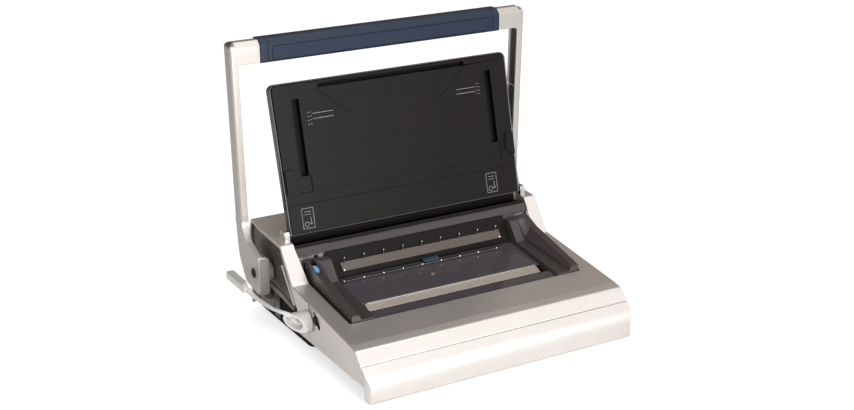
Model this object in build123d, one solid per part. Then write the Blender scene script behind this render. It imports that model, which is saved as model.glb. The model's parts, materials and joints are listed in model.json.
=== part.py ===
from build123d import *

import os
from math import atan2, cos, degrees, hypot, radians, sin

# A desk machine that punches a row of square holes in paper and closes wire
# spines, with a tall handle frame, a hinged paper support and a chip drawer.
# Millimetres. The machine is drawn with X = 0 on its middle plane, Y = 0 at the
# front seam and Z = 0 on the table, and is moved to its origin when written.

# Casing
casing_half = 215.5
casing_wall = 2.5
seam_y = -1.5
seam_z = 53.5
bend_low_y = 12.6
bend_low_z = 68.2
bend_high_y = 27.2
bend_high_z = 71.0
foot_y = 201.5
foot_z = 90.6
brow_y = 238.9
brow_z = 138.6
crown_y = 308.8
crown_z = 142.3
back_top_y = 342.9
back_top_z = 148.8
back_y = 350.5
back_turn_z = 128.0
back_low_z = 12.0
side_low_y = -8.7
side_low_z = 26.0
side_rear_y = 186.0
front_bend_radius = 9.0
foot_radius = 9.0
brow_radius = 9.0
crown_radius = 30.0
back_radius = 8.0
edge_radius = 1.6
flange_depth = 5.0
flange_slant_z = 60.5
flange_slant_y = 189.8

# Opening in the deck, between two shoulders that narrow towards the rear
opening_front_y = 77.0
opening_rear_y = 264.0
shoulder_front_width = 25.7
shoulder_foot_width = 25.0
shoulder_rear_width = 19.9
opening_widen_y = 234.0
opening_corner = 4.0
opening_front_half = casing_half - shoulder_front_width
opening_foot_half = casing_half - shoulder_foot_width
opening_rear_half = casing_half - shoulder_rear_width
rim_wall = 2.2
rim_depth = 13.0

# Fits
seat_gap = 0.3
fit_gap = 0.05
slide_gap = 0.5

# Side panels
side_panel_wall = 2.5
side_panel_inset = 3.5
side_panel_low_y = 199.7
side_panel_low_z = 56.0
side_panel_rear_z = 63.0
hub_hole_radius = 12.0
panel_recess = 1.0

# Base pan, feet and drawer
pan_floor_z = 4.0
pan_wall = 2.2
pan_front_margin = 31.5
pan_front_half = casing_half - pan_front_margin
pan_front_height = 47.0
pan_rear_margin = 12.0
pan_rear_half = casing_half - pan_rear_margin
pan_step_y = 176.0
pan_side_height = 55.0
pan_back_height = 118.0
foot_top_radius = 10.0
foot_base_radius = 11.5
front_foot_inset = 19.0
front_foot_y = 22.0
rear_foot_inset = 15.5
rear_foot_y = 192.0
back_foot_inset = 20.5
post_y = 273.0
post_width = 15.0
post_depth = 2.4
tray_margin = 14.0
tray_half = pan_front_half - tray_margin
tray_wall = 2.0
tray_front_y = -4.0
tray_rear_y = 236.0
tray_height = 44.0
runner_width = 12.0
runner_inset = 3.0
runner_front_y = 5.0
runner_height = 2.5
front_panel_bulge = 19.5
front_panel_belly_z = 14.0
front_panel_wall = 2.5
front_panel_corner = 12.0
front_panel_low_z = 1.5
front_panel_ribs = 5
front_panel_rib_inset = 10.0

# Chassis plates and cheeks
chassis_inset = 17.2
chassis_x = casing_half - chassis_inset
chassis_wall = 2.5
chassis_front_y = 95.0
chassis_low_z = 52.0
chassis_behind_shaft = 26.0
cheek_wall = 3.0
cheek_front_y = 80.5
cheek_rear_y = 218.0
cheek_low_z = 50.0

# Handle shaft, punch and throat
shaft_y = 285.5
shaft_z = 86.0
shaft_radius = 5.5
throat_y = 231.9
throat_z = 105.2
bush_radius = 8.0
bush_length = 7.0
lean_deg = 14.5
throat_gap = 2.5
die_thick = 4.0
guide_thick = 3.0
die_low = -6.0
die_high = 12.0
die_margin = 6.0
pin_pitch = 8.4667
pin_wide = 4.0
pin_tall = 3.2
pin_tip_inset = 0.5
punch_travel = 8.0
bar_thick = 7.0
bar_low = -5.0
bar_high = 7.0
bar_tongue = 3.2
bar_tongue_length = 10.0
punch_rest_gap = 0.6
punch_cam_radius = 12.0
punch_cam_throw = 6.8
punch_cam_width = 14.0
punch_cam_x = 100.0
push_block_half = 6.0
throat_lip_y = 235.0
throat_lip_z = 131.3
lip_foot_y = 227.6
lip_foot_z = 122.2
lip_wall = 1.6
lip_margin = 1.6
lip_half = opening_rear_half - lip_margin
notch_pitch = 5.08
notch_width = 1.9
notch_depth = 1.1
back_guide_top = 30.0
back_guide_flare = 4.0
back_guide_wall = 2.0

# Rails beside the well
rail_width = 35.9
rail_wall = 2.2
rail_front_y = 78.5
rail_mid_y = 188.0
rail_top_y = 210.0
rail_rear_y = 221.0
rail_low_z = 63.5
rail_ridge_width = 11.0
rail_front_rise = 9.0
rail_mid_rise = 21.0
rail_slope_front = 14.2
rail_slope_rear = 21.2
rail_ledge_rise = 1.5
rail_drop_front = 2.5
rail_drop_rear = 6.0
rail_top_z = 119.0

# Well floor
band_drop = 2.6
band_rear_y = 101.0
band_rear_z = 76.3
band_wall = 2.5
band_low_z = 60.0
panel_front_y = 127.7
panel_front_z = 77.5
panel_rear_y = 204.0
panel_slope = 0.112
panel_wall = 3.0
wall_foot_y = 206.6
wall_foot_z = 94.6
strip_depth = 10.0
strip_wall = 1.5
strip_inset = 16.3
hook_pitch = 32.0
hook_radius = 0.9
hook_height = 9.0

# Closer: lever, shaft, cams, carriage and bar
closer_y = 151.3
closer_z = 58.8
closer_radius = 4.0
closer_travel = 6.8
closer_cam_radius = 9.5
closer_cam_throw = 4.8
closer_rest_gap = 0.6
closer_cam_phase = 20.0
closer_cam_width = 8.0
closer_cam_x = 60.0
carriage_low_z = 66.0
carriage_wall = 2.5
carriage_reach = 1.5
bar_edge_y = 125.5
bar_edge_z = 76.7
bar_nose_y = 111.5
bar_nose_z = 71.7
bar_inset = 7.8
bar_sheet = 1.6
knob_radius = 15.9
knob_reach = 33.0
knob_cut_y = 0.645
knob_cut_z = 0.43
knob_dish_radius = 13.0
lever_inner = casing_half + 36.0
lever_outer = casing_half + 41.5
lever_pad_outer = casing_half + 48.5
lever_thick = 3.6
lever_pad_start = 266.0
lever_pad_end = 327.0
lever_z = 77.6
pad_thick = 1.6
pad_rib_count = 12
pad_rib_depth = 0.8

# Size selector on the left wall
selector_y = 128.2
selector_z = 67.1
selector_length = 27.5
selector_width = 9.5
selector_tilt = 47.2
button_length = 13.0
button_depth = 7.5
window_y = 151.5
window_z = 80.5
window_length = 10.5
window_width = 4.0
window_tilt = 31.0

# Edge guide with its thumb wheel, and the sliding catch
wheel_y = 203.0
wheel_z = 99.0
wheel_radius = 15.0
wheel_width = 7.0
wheel_teeth = 20
tooth_groove = 1.3
spindle_radius = 2.5
guide_block_width = 8.0
guide_travel = 5.0
guide_arm_half = 2.5
guide_tab_top = 22.0
catch_x = 6.0
catch_length = 25.0
catch_depth = 9.0
catch_height = 5.0
catch_rear_y = 203.0
catch_ribs = 7

# Paper support lid
hinge_y = 256.0
hinge_z = 146.0
lid_side_gap = 1.6
lid_flare = 2.6
lid_height = 214.4
lid_foot = 3.0
lid_back = 6.0
lid_front = 8.0
lid_rim_drop = 1.5
lid_wall = 2.5
lid_corner = 10.0
lid_panel_plate = 4.5
lid_slot_inset = 34.0
lid_slot_width = 12.0
lid_slot_low = 80.0
lid_slot_high = 190.0
lid_pocket_width = 20.0
lid_pocket_low = 56.0
lid_pocket_depth = 2.5
lid_groove_inset = 72.0
lid_groove_low = 202.5
lid_groove_high = 208.5
lid_band_low = 40.0
lid_band_high = 56.0
lid_band_depth = 3.0
lid_foot_depth = 1.4
lid_rib_width = 3.0
lid_rib_rise = 1.5
lid_rib_top_x = 125.0
lid_rib_low_x = 72.0
lid_rib_low = 157.0
lid_grab_width = 15.0
lid_grab_low = 57.0
lid_grab_high = 92.0
lid_grab_rise = 4.0
hinge_pin_radius = 2.5
ear_width = 8.0
ear_radius = 7.0

# Handle frame: each arm leans out a little towards its top
arm_foot_gap = 22.5
arm_spread = 6.5
arm_thick = 11.0
arm_wall = 3.0
arm_edge_radius = 4.0
arm_straight_z = 140.0
arm_front_y = 322.0
arm_depth = 24.0
grip_reach = 46.0
grip_low_z = 384.0
grip_height = 32.0
grip_depth = 25.0
grip_chamfer = 7.5
grip_swell = 1.2
grip_collar = 12.0
grip_inset = 1.2
corner_radius = 10.0
inner_corner_radius = 5.0
channel_low_z = 152.0
channel_depth = 7.5
channel_ribs = 3
channel_rib_top = 292.0
channel_rib_pitch = 63.0
channel_rib_wall = 1.8
channel_rib_drop = 3.0
channel_rib_drop_step = 5.0
hub_inner_gap = 6.5
hub_front = 19.5
hub_rear = 30.0
hub_top = 27.0
hub_low = 30.0
hub_waist = 7.0
hub_collar_radius = 14.7
collar_ribs = 20
tube_radius = 6.0
tube_reach = 30.0
tube_wall = 1.5
screw_radius = 5.0
screw_recess = 1.6

arm_foot_outer = casing_half + arm_foot_gap
arm_outer = arm_foot_outer + arm_spread
grip_half = arm_outer - grip_reach
grip_top_z = grip_low_z + grip_height
grip_front_y = arm_front_y
grip_rear_y = grip_front_y + grip_depth
grip_middle_y = (grip_front_y + grip_rear_y) / 2
grip_middle_z = (grip_low_z + grip_top_z) / 2
hub_inner = casing_half + hub_inner_gap

# Origin: the middle of the whole machine's box, on the table.
# The lever stands out furthest on the left, the arm's top on the right.
arm_reach = arm_outer - corner_radius * arm_spread / (grip_top_z - arm_straight_z)
origin_x = (arm_reach - lever_pad_outer) / 2
origin_y = (back_y - front_panel_bulge) / 2

# The cheeks stand just inside the opening, and the rails against the cheeks
cheek_outer = opening_front_half - seat_gap
rail_outer = cheek_outer - cheek_wall - seat_gap
rail_inner = rail_outer - rail_width
wheel_outer = rail_outer - rail_wall - seat_gap
guide_block_inner = rail_inner + rail_wall + guide_travel + 2 * slide_gap
guide_block_outer = guide_block_inner + guide_block_width

# Rows of like features fill the length that they have
strip_half = rail_inner - strip_inset
bar_length_half = rail_inner - bar_inset
pin_count = 2 * int((rail_inner - die_margin) / pin_pitch)
notch_count = 2 * int((rail_inner - die_margin) / notch_pitch)
hook_count = 2 * int((strip_half - 4 * hook_radius) / hook_pitch) + 1
die_half = pin_count * pin_pitch / 2 + die_margin
guide_half = chassis_x - seat_gap
bar_half = chassis_x + chassis_wall - 0.8

# The lid stands between the shoulders, and its ears on them
lid_half = opening_rear_half - lid_side_gap
ear_inner = opening_rear_half + 0.2

deck_slope = (foot_z - bend_high_z) / (foot_y - bend_high_y)
lean_sin = sin(radians(lean_deg))
lean_cos = cos(radians(lean_deg))

# The cover's outer line in side view, from the front seam over to the back
cover_line = [
    (seam_y, seam_z),
    (bend_low_y, bend_low_z),
    (bend_high_y, bend_high_z),
    (foot_y, foot_z),
    (brow_y, brow_z),
    (crown_y, crown_z),
    (back_top_y, back_top_z),
    (back_y, back_turn_z),
    (back_y, back_low_z),
]
cover_radii = [
    0,
    front_bend_radius,
    front_bend_radius,
    foot_radius,
    brow_radius,
    crown_radius,
    back_radius,
    back_radius,
    0,
]


def deck_z(y):
    """Height of the sloping deck's upper face, carried on under the shoulders."""
    return bend_high_z + deck_slope * (y - bend_high_y)


def panel_z(y):
    """Height of the glossy floor panel's upper face."""
    return panel_front_z + panel_slope * (y - panel_front_y)


def inside_line(gap):
    """The cover's outer line, moved inwards by a gap square to each stretch."""
    moved = []
    for (y0, z0), (y1, z1) in zip(cover_line, cover_line[1:]):
        length = hypot(y1 - y0, z1 - z0)
        shift_y = gap * (z1 - z0) / length
        shift_z = -gap * (y1 - y0) / length
        moved.append(((y0 + shift_y, z0 + shift_z), (y1 + shift_y, z1 + shift_z)))
    points = [moved[0][0]]
    for (a, b), (c, d) in zip(moved, moved[1:]):
        ay, az = b[0] - a[0], b[1] - a[1]
        cy, cz = d[0] - c[0], d[1] - c[1]
        share = ((c[0] - a[0]) * cz - (c[1] - a[1]) * cy) / (ay * cz - az * cy)
        points.append((a[0] + share * ay, a[1] + share * az))
    points.append(moved[-1][1])
    return points


def outline(points, radii=0):
    """A flat closed outline whose corners may be rounded."""
    return make_face(FilletPolyline(*points, radius=radii, close=True))


def slab_x(points, x0, x1, radii=0):
    """A side outline (Y, Z) made solid from x0 to x1."""
    return extrude(Plane.YZ.offset(x0) * outline(points, radii), amount=x1 - x0, dir=(1, 0, 0))


def slab_y(points, y0, y1, radii=0):
    """A front outline (X, Z) made solid from y0 to y1."""
    return extrude(Plane.XZ.offset(-y0) * outline(points, radii), amount=y1 - y0, dir=(0, 1, 0))


def slab_z(points, z0, z1, radii=0):
    """A plan outline (X, Y) made solid from z0 to z1."""
    return extrude(Plane.XY.offset(z0) * outline(points, radii), amount=z1 - z0, dir=(0, 0, 1))


def block(x0, x1, y0, y1, z0, z1):
    """A plain block between two corners."""
    return Pos((x0 + x1) / 2, (y0 + y1) / 2, (z0 + z1) / 2) * Box(x1 - x0, y1 - y0, z1 - z0)


def rod_x(y, z, radius, x0, x1):
    """A round rod along X."""
    return extrude(Plane.YZ.offset(x0) * Pos(y, z) * Circle(radius), amount=x1 - x0, dir=(1, 0, 0))


def both_sides(shape):
    """A shape and its mirror image across the middle plane."""
    return [shape, mirror(shape, about=Plane.YZ)]


def leaning(y, z, up_shift=0.0):
    """A plane that leans back: x along X, y up the lean, z square to it and forward."""
    return Plane(
        origin=(0, y + up_shift * lean_sin, z + up_shift * lean_cos),
        x_dir=(1, 0, 0),
        z_dir=(0, -lean_cos, lean_sin),
    )


def leaning_block(plane, x0, x1, y0, y1, z0, z1):
    """A block given in a leaning plane's own directions."""
    return plane * block(x0, x1, y0, y1, z0, z1)


def leaning_slab(plane, points, z0, z1, radii=0):
    """An outline in a leaning plane, made solid from z0 to z1 along its normal."""
    return plane * slab_z(points, z0, z1, radii)


# Stack of the punch parts behind the throat, along its normal
bar_front_rest = throat_gap / 2 + guide_thick + punch_travel + seat_gap
bar_rear_rest = bar_front_rest + bar_thick

# The handle shaft seen from the throat: how far behind it, and how far up
shaft_behind = (shaft_y - throat_y) * lean_cos + (throat_z - shaft_z) * lean_sin
shaft_up = (shaft_y - throat_y) * lean_sin - (throat_z - shaft_z) * lean_cos
push_reach = shaft_behind - punch_cam_radius + punch_cam_throw - punch_rest_gap
throat = leaning(throat_y, throat_z)
lid_plane = leaning(hinge_y, hinge_z)


def throat_point(up, forward):
    """The (Y, Z) of a point given up the throat and forward of its middle."""
    return (
        throat_y + up * lean_sin - forward * lean_cos,
        throat_z + up * lean_cos + forward * lean_sin,
    )


def opening_plan(grow=0.0):
    """Plan outline of the deck's opening, or one that is wider all round."""
    front = opening_front_y - grow
    rear = opening_rear_y + grow
    return [
        (-opening_front_half - grow, front),
        (opening_front_half + grow, front),
        (opening_foot_half + grow, foot_y),
        (opening_rear_half + grow, opening_widen_y),
        (opening_rear_half + grow, rear),
        (-opening_rear_half - grow, rear),
        (-opening_rear_half - grow, opening_widen_y),
        (-opening_foot_half - grow, foot_y),
    ]


def opening_radii(grow=0.0):
    """Corner radii to go with opening_plan."""
    corner = opening_corner + grow
    return [corner, corner, 60, 60, corner, corner, 60, 60]


def obround(y, z, length, width, tilt):
    """A flat slot shape in side view, with round ends."""
    return Pos(y, z) * Rot(0, 0, tilt) * SlotOverall(length, width)


def make_main_cover():
    """The silver upper moulding: deck, shoulders, rear top and side walls."""
    low = [
        (side_rear_y, back_low_z),
        (side_rear_y, side_low_z),
        (side_low_y, side_low_z),
    ]
    body = slab_x(cover_line + low, -casing_half, casing_half, cover_radii + [0, 0, 0])
    outer_edges = body.edges().filter_by(lambda e: abs(abs(e.center().X) - casing_half) < 0.01)
    top_edges = outer_edges.filter_by(lambda e: e.center().Z > seam_z and e.center().Y < back_top_y)
    body = fillet(top_edges, edge_radius)
    inside = inside_line(casing_wall)
    inside_radii = [0] + [max(r - casing_wall, 0) for r in cover_radii[1:]]
    reach = 20
    hollow_points = inside + [(inside[-1][0], -reach), (-2 * reach, -reach), (-2 * reach, inside[0][1])]
    inner = casing_half - casing_wall
    hollow = slab_x(hollow_points, -inner, inner, inside_radii + [0, 0, 0])
    rim = slab_z(opening_plan(rim_wall), 0, back_top_z, opening_radii(rim_wall))
    rim = rim & (body - Pos(0, 0, -rim_depth) * body)
    cover = (body - hollow) + rim
    cover = cover - slab_z(opening_plan(), -reach, back_top_z + reach, opening_radii())
    flange = inside_line(flange_depth)
    behind = [
        (side_rear_y - 1, -reach),
        (side_rear_y - 1, flange_slant_z - flange_depth),
        (flange_slant_y, flange_slant_z),
        (brow_y - flange_depth, brow_z - 4 * flange_depth),
        flange[4],
        flange[5],
        flange[6],
        flange[7],
        (flange[8][0], -reach),
    ]
    cut_radii = [0, 2, 0, 3, 5, 0, 4, 3, 0]
    cut_depth = casing_wall + seat_gap
    for start in (-casing_half - seat_gap, casing_half - casing_wall):
        cover = cover - slab_x(behind, start, start + cut_depth, cut_radii)
    left = Plane.YZ.offset(-casing_half - 1)
    slot = obround(selector_y, selector_z, selector_length, selector_width, selector_tilt)
    window = obround(window_y, window_z, window_length, window_width, window_tilt)
    for face in (slot, window, Pos(closer_y, closer_z) * Circle(closer_radius + slide_gap)):
        cover = cover - extrude(left * face, amount=casing_wall + 2, dir=(1, 0, 0))
    return cover


def make_side_panel(side):
    """A dark side panel that fills the wall behind the cover's slanting edge."""
    top = inside_line(casing_wall + seat_gap)
    tuck = 4.0
    points = [
        (side_panel_low_y, side_panel_low_z),
        (brow_y - flange_depth - tuck, brow_z - 4 * flange_depth),
        top[4],
        top[5],
        top[6],
        top[7],
        (top[8][0], side_panel_rear_z),
        (shaft_y + 2 * hub_hole_radius, side_panel_rear_z),
    ]
    outer = casing_half - side_panel_inset
    panel = slab_x(points, outer - side_panel_wall, outer, [3, 4, 6, 0, 5, 5, 3, 30])
    panel = panel - rod_x(shaft_y, shaft_z, hub_hole_radius, outer - side_panel_wall - 1, outer + 1)
    low = side_panel_rear_z + 4 * panel_recess
    high = brow_z - 7 * flange_depth
    recess_points = [
        (side_panel_low_y + 14, side_panel_low_z + 4),
        (brow_y - 6, high),
        (shaft_y + 5, high),
        (shaft_y + 31, low),
        (shaft_y - hub_hole_radius, low),
    ]
    panel = panel - slab_x(recess_points, outer - panel_recess, outer + 1, [3, 6, 6, 6, 3])
    return panel if side > 0 else mirror(panel, about=Plane.YZ)


def make_base_pan():
    """The black pan under the machine: narrow in front for the drawer, wide behind."""
    floor_z = pan_floor_z + casing_wall
    back = back_y - casing_wall - seat_gap
    narrow = [
        (-pan_front_half, 0),
        (pan_front_half, 0),
        (pan_front_half, pan_step_y + 10),
        (-pan_front_half, pan_step_y + 10),
    ]
    wide = [
        (-pan_rear_half, pan_step_y),
        (pan_rear_half, pan_step_y),
        (pan_rear_half, back),
        (-pan_rear_half, back),
    ]
    pan = slab_z(wide, pan_floor_z, pan_side_height, 6)
    pan = fillet(pan.faces().sort_by(Axis.Z)[0].edges(), 4)
    pan = pan + slab_z(narrow, pan_floor_z, pan_front_height, [2, 2, 0, 0])
    inner = pan_rear_half - pan_wall
    inside = [
        (-inner, pan_step_y + pan_wall),
        (inner, pan_step_y + pan_wall),
        (inner, back - pan_wall),
        (-inner, back - pan_wall),
    ]
    pan = pan - slab_z(inside, floor_z, pan_back_height, 4)
    lane = pan_front_half - pan_wall
    pan = pan - block(-lane, lane, -10, pan_step_y + 10, floor_z, pan_back_height)
    step_top = block(-inner, inner, pan_step_y - 1, pan_step_y + 10, pan_front_height, pan_back_height)
    return pan - step_top + block(-inner, inner, back - pan_wall, back, floor_z, pan_back_height)


def make_feet():
    """Six rubber feet under the pan."""
    front_x = pan_front_half - front_foot_inset
    rear_x = pan_rear_half - rear_foot_inset
    places = [(front_x, front_foot_y), (rear_x, rear_foot_y), (rear_x, back_y - back_foot_inset)]
    feet = []
    for x, y in places:
        low = Pos(x, y, 0) * Circle(foot_top_radius)
        high = Pos(x, y, pan_floor_z) * Circle(foot_base_radius)
        feet += both_sides(loft([low, high]))
    return feet


def make_side_posts():
    """The grey upright on each side of the pan."""
    post = slab_y(
        [
            (pan_rear_half, pan_floor_z + 6),
            (pan_rear_half + post_depth, pan_floor_z + 9),
            (pan_rear_half + post_depth, pan_side_height - 3),
            (pan_rear_half, pan_side_height),
        ],
        post_y,
        post_y + post_width,
    )
    return both_sides(post)


def make_drawer_runners():
    """Two low runners on the pan's floor under the drawer."""
    z = pan_floor_z + casing_wall
    outer = tray_half - runner_inset
    rear = tray_rear_y - 2 * runner_inset
    return both_sides(block(outer - runner_width, outer, runner_front_y, rear, z, z + runner_height))


def make_chip_tray():
    """The open drawer that catches the punched chips."""
    z0 = pan_floor_z + casing_wall + runner_height + seat_gap
    front = tray_front_y
    tray = slab_z(
        [(-tray_half, front), (tray_half, front), (tray_half, tray_rear_y), (-tray_half, tray_rear_y)],
        z0,
        tray_height,
        3,
    )
    wall = tray_wall
    hollow = slab_z(
        [
            (-tray_half + wall, front + wall),
            (tray_half - wall, front + wall),
            (tray_half - wall, tray_rear_y - wall),
            (-tray_half + wall, tray_rear_y - wall),
        ],
        z0 + wall,
        tray_height + 1,
        2,
    )
    tray = tray - hollow
    divider = block(-wall / 2, wall / 2, front + 1, tray_rear_y - 1, z0 + 1, tray_height - 12)
    return tray + divider


def make_drawer_front():
    """The bulging silver front of the drawer, hollow behind, with ribs to the tray."""
    top = (seam_y - 1.1, seam_z - 1.1)
    back_top = (seam_y - 2.6, seam_z - 3.5)
    back_low = (side_low_y - 0.9, side_low_z)
    low_back = (side_low_y - 3.5, front_panel_low_z)
    low_front = (side_low_y - 6.5, front_panel_low_z)
    belly = (-front_panel_bulge, front_panel_belly_z)
    shoulder = (seam_y - 11.5, seam_z - 11)
    upper = Spline(top, shoulder, belly, tangents=((-0.7, -0.7), (0, -1)))
    lower = Spline(belly, low_front, tangents=((0, -1), (0.7, -0.7)))
    rest = Polyline(low_front, low_back, back_low, back_top, top)
    face = make_face([upper.edge(), lower.edge()] + list(rest.edges()))
    panel = extrude(Plane.YZ.offset(-casing_half) * face, amount=2 * casing_half, dir=(1, 0, 0))
    corner = front_panel_corner
    half = casing_half
    low = front_panel_low_z
    above = seam_z + 5
    ahead = belly[0] - 1
    plan = [(-half, 0), (half, 0), (half, ahead), (-half, ahead)]
    front_view = [(-half, low), (half, low), (half, above), (-half, above)]
    panel = panel & slab_z(plan, 0, above, [0, 0, corner, corner])
    panel = panel & slab_y(front_view, ahead - 5, 5, [corner, corner, 0, 0])
    wall = front_panel_wall
    mouth_z = top[1] - 4.5
    floor_z = low_front[1] + wall
    hollow_top = (top[0] - 1.5, mouth_z)
    hollow_belly = (belly[0] + wall, belly[1])
    hollow_low = (low_front[0] + wall, floor_z)
    inner_upper = Spline(hollow_top, (shoulder[0] + wall, shoulder[1] - 1.5), hollow_belly)
    inner_lower = Spline(hollow_belly, hollow_low, tangents=((0, -1), (0.7, -0.7)))
    closing = Polyline(hollow_low, (20, floor_z), (20, mouth_z), hollow_top)
    cavity = make_face([inner_upper.edge(), inner_lower.edge()] + list(closing.edges()))
    half = casing_half - 2 * wall
    panel = panel - extrude(Plane.YZ.offset(-half) * cavity, amount=2 * half, dir=(1, 0, 0))
    tray_face = tray_front_y - seat_gap
    rib_face = [
        (belly[0] + 1, 10),
        (tray_face, 10),
        (tray_face, tray_height - 4),
        (shoulder[0] + 1, tray_height - 4),
        (belly[0] + 1, 26),
    ]
    span = 2 * (tray_half - front_panel_rib_inset)
    for i in range(front_panel_ribs):
        x = (i / (front_panel_ribs - 1) - 0.5) * span
        panel = panel + slab_x(rib_face, x - 1, x + 1)
    return panel


def make_chassis(side):
    """A steel side plate that carries the shafts, the punch and the cover."""
    top = inside_line(casing_wall + seat_gap)
    floor_z = pan_floor_z + casing_wall
    points = [
        (chassis_front_y, chassis_low_z),
        (chassis_front_y, deck_z(chassis_front_y) - casing_wall - 2 * seat_gap),
        top[3],
        top[4],
        (shaft_y + chassis_behind_shaft, top[4][1]),
        (shaft_y + chassis_behind_shaft, floor_z),
        (pan_step_y + 8, floor_z),
        (pan_step_y + 8, chassis_low_z),
    ]
    plate = slab_x(points, chassis_x, chassis_x + chassis_wall, [3, 0, 0, 6, 6, 0, 0, 0])
    plate = plate - rod_x(shaft_y, shaft_z, bush_radius + fit_gap, chassis_x - 1, chassis_x + 5)
    plate = plate - rod_x(closer_y, closer_z, closer_radius + fit_gap, chassis_x - 1, chassis_x + 5)
    reach = bar_front_rest + bar_tongue + seat_gap
    slot = leaning_block(
        throat,
        chassis_x - 1,
        chassis_x + 5,
        bar_low - seat_gap,
        bar_high + seat_gap,
        -reach,
        punch_travel - bar_front_rest + seat_gap,
    )
    plate = plate - slot
    return plate if side > 0 else mirror(plate, about=Plane.YZ)


def make_shaft_bushes():
    """Two flanged bushes for the handle shaft."""
    start = chassis_x - 2
    bush = rod_x(shaft_y, shaft_z, bush_radius, start, start + bush_length)
    flange = rod_x(shaft_y, shaft_z, bush_radius + 1.5, start - 1.5, chassis_x - seat_gap)
    bush = bush + flange - rod_x(shaft_y, shaft_z, shaft_radius + fit_gap, start - 5, start + 20)
    return both_sides(bush)


def make_cheek(side):
    """A black plate inside the opening that carries a rail."""
    top = inside_line(1.2)
    slope = (brow_z - foot_z) / (brow_y - foot_y)
    points = [
        (cheek_front_y, cheek_low_z),
        (cheek_front_y, deck_z(cheek_front_y) - 1.2),
        top[3],
        (cheek_rear_y, top[3][1] + slope * (cheek_rear_y - top[3][0])),
        (cheek_rear_y, cheek_low_z),
    ]
    cheek = slab_x(points, cheek_outer - cheek_wall, cheek_outer, [2, 1, 6, 2, 2])
    cheek = cheek - rod_x(closer_y, closer_z, closer_radius + 1, cheek_outer - 10, cheek_outer + 1)
    return cheek if side > 0 else mirror(cheek, about=Plane.YZ)


def rail_section(y, ridge, ledge, drop, slope_width):
    """Cross-section of the right rail: an open channel with ridge, slope, drop and ledge."""
    wall = rail_wall
    ridge_x = rail_outer - rail_ridge_width
    foot_x = rail_outer - slope_width
    points = [
        (rail_outer, rail_low_z),
        (rail_outer, ridge),
        (ridge_x, ridge),
        (foot_x, ledge + drop),
        (foot_x - 0.4, ledge),
        (rail_inner, ledge),
        (rail_inner, rail_low_z),
        (rail_inner + wall, rail_low_z),
        (rail_inner + wall, ledge - wall),
        (foot_x + wall * 0.8, ledge - wall),
        (ridge_x + wall * 0.5, ridge - wall),
        (rail_outer - wall, ridge - wall),
        (rail_outer - wall, rail_low_z),
    ]
    return Plane.XZ.offset(-y) * outline(points)


def make_rail(side):
    """A raised black rail beside the well, hollow below, open at the wheel on the left."""
    front_ridge = deck_z(rail_front_y) + rail_front_rise
    front_ledge = deck_z(rail_front_y) + rail_ledge_rise
    mid_ridge = deck_z(rail_mid_y) + rail_mid_rise
    mid_ledge = deck_z(rail_mid_y) + rail_ledge_rise
    sections = [
        rail_section(rail_front_y, front_ridge, front_ledge, rail_drop_front, rail_slope_front),
        rail_section(rail_mid_y, mid_ridge, mid_ledge, rail_drop_rear, rail_slope_rear),
        rail_section(rail_top_y, rail_top_z, rail_top_z - 2.4, 1.0, rail_slope_rear),
        rail_section(rail_rear_y, rail_top_z + 0.8, rail_top_z - 1.4, 1.0, rail_slope_rear),
    ]
    rail = loft(sections, ruled=True)
    wall = rail_wall
    front_end = [
        (rail_outer, rail_low_z),
        (rail_outer, front_ridge),
        (rail_outer - rail_ridge_width, front_ridge),
        (rail_outer - rail_slope_front, front_ledge + rail_drop_front),
        (rail_outer - rail_slope_front - 0.4, front_ledge),
        (rail_inner, front_ledge),
        (rail_inner, rail_low_z),
    ]
    rail = rail + slab_y(front_end, rail_front_y, rail_front_y + wall)
    rear_end = [
        (rail_inner, mid_ledge),
        (rail_inner, rail_top_z - 3),
        (rail_outer, rail_top_z - 3),
        (rail_outer, mid_ledge),
    ]
    rail = rail + slab_y(rear_end, rail_rear_y - wall, rail_rear_y)
    slot_front = bar_edge_y + 1.7 - closer_travel - slide_gap
    slot_top = carriage_low_z + carriage_wall + slide_gap
    slot_rear = closer_y - 7
    low = rail_low_z - 1
    rail = rail - block(rail_inner - 1, rail_inner + wall + 1, slot_front, slot_rear, low, slot_top)
    if side > 0:
        return rail
    rail = mirror(rail, about=Plane.YZ)
    slot_half = wheel_radius + 1
    wheel_slot = block(
        -wheel_outer - slide_gap,
        -wheel_outer + wheel_width + slide_gap,
        wheel_y - slot_half,
        wheel_y + slot_half,
        wheel_z - 4,
        wheel_z + 40,
    )
    bore = rod_x(wheel_y, wheel_z, spindle_radius + fit_gap, -rail_outer - 1, -rail_inner)
    half = guide_arm_half + guide_travel + 2 * slide_gap
    middle = -(guide_block_outer + guide_block_inner) / 2
    arm_slot = block(
        middle - half,
        middle + half,
        rail_rear_y - wall - 1,
        rail_rear_y + 1,
        wheel_z - 2 - 2 * slide_gap,
        wheel_z + 3 + 2 * slide_gap,
    )
    return rail - wheel_slot - bore - arm_slot


def make_front_band():
    """The dark band in front of the closer, whose rear wall the bar presses wires on."""
    front = opening_front_y + 0.4
    front_z = deck_z(opening_front_y) - band_drop
    wall = band_wall
    points = [
        (front, band_low_z + 2),
        (front, front_z),
        (band_rear_y, band_rear_z),
        (band_rear_y, band_low_z),
        (band_rear_y - wall, band_low_z),
        (band_rear_y - wall, band_rear_z - wall),
        (front + wall, front_z - wall),
        (front + wall, band_low_z + 2),
    ]
    half = rail_inner - seat_gap
    return slab_x(points, -half, half, [0, 1, 1, 0, 0, 0.5, 0.5, 0])


def make_floor_panel():
    """The glossy floor panel of the well."""
    points = [
        (panel_front_y, panel_front_z - panel_wall),
        (panel_front_y, panel_front_z),
        (panel_rear_y, panel_z(panel_rear_y)),
        (panel_rear_y, panel_z(panel_rear_y) - panel_wall),
    ]
    half = rail_inner - 2 * seat_gap
    return slab_x(points, -half, half, [0, 1, 0, 0])


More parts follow.
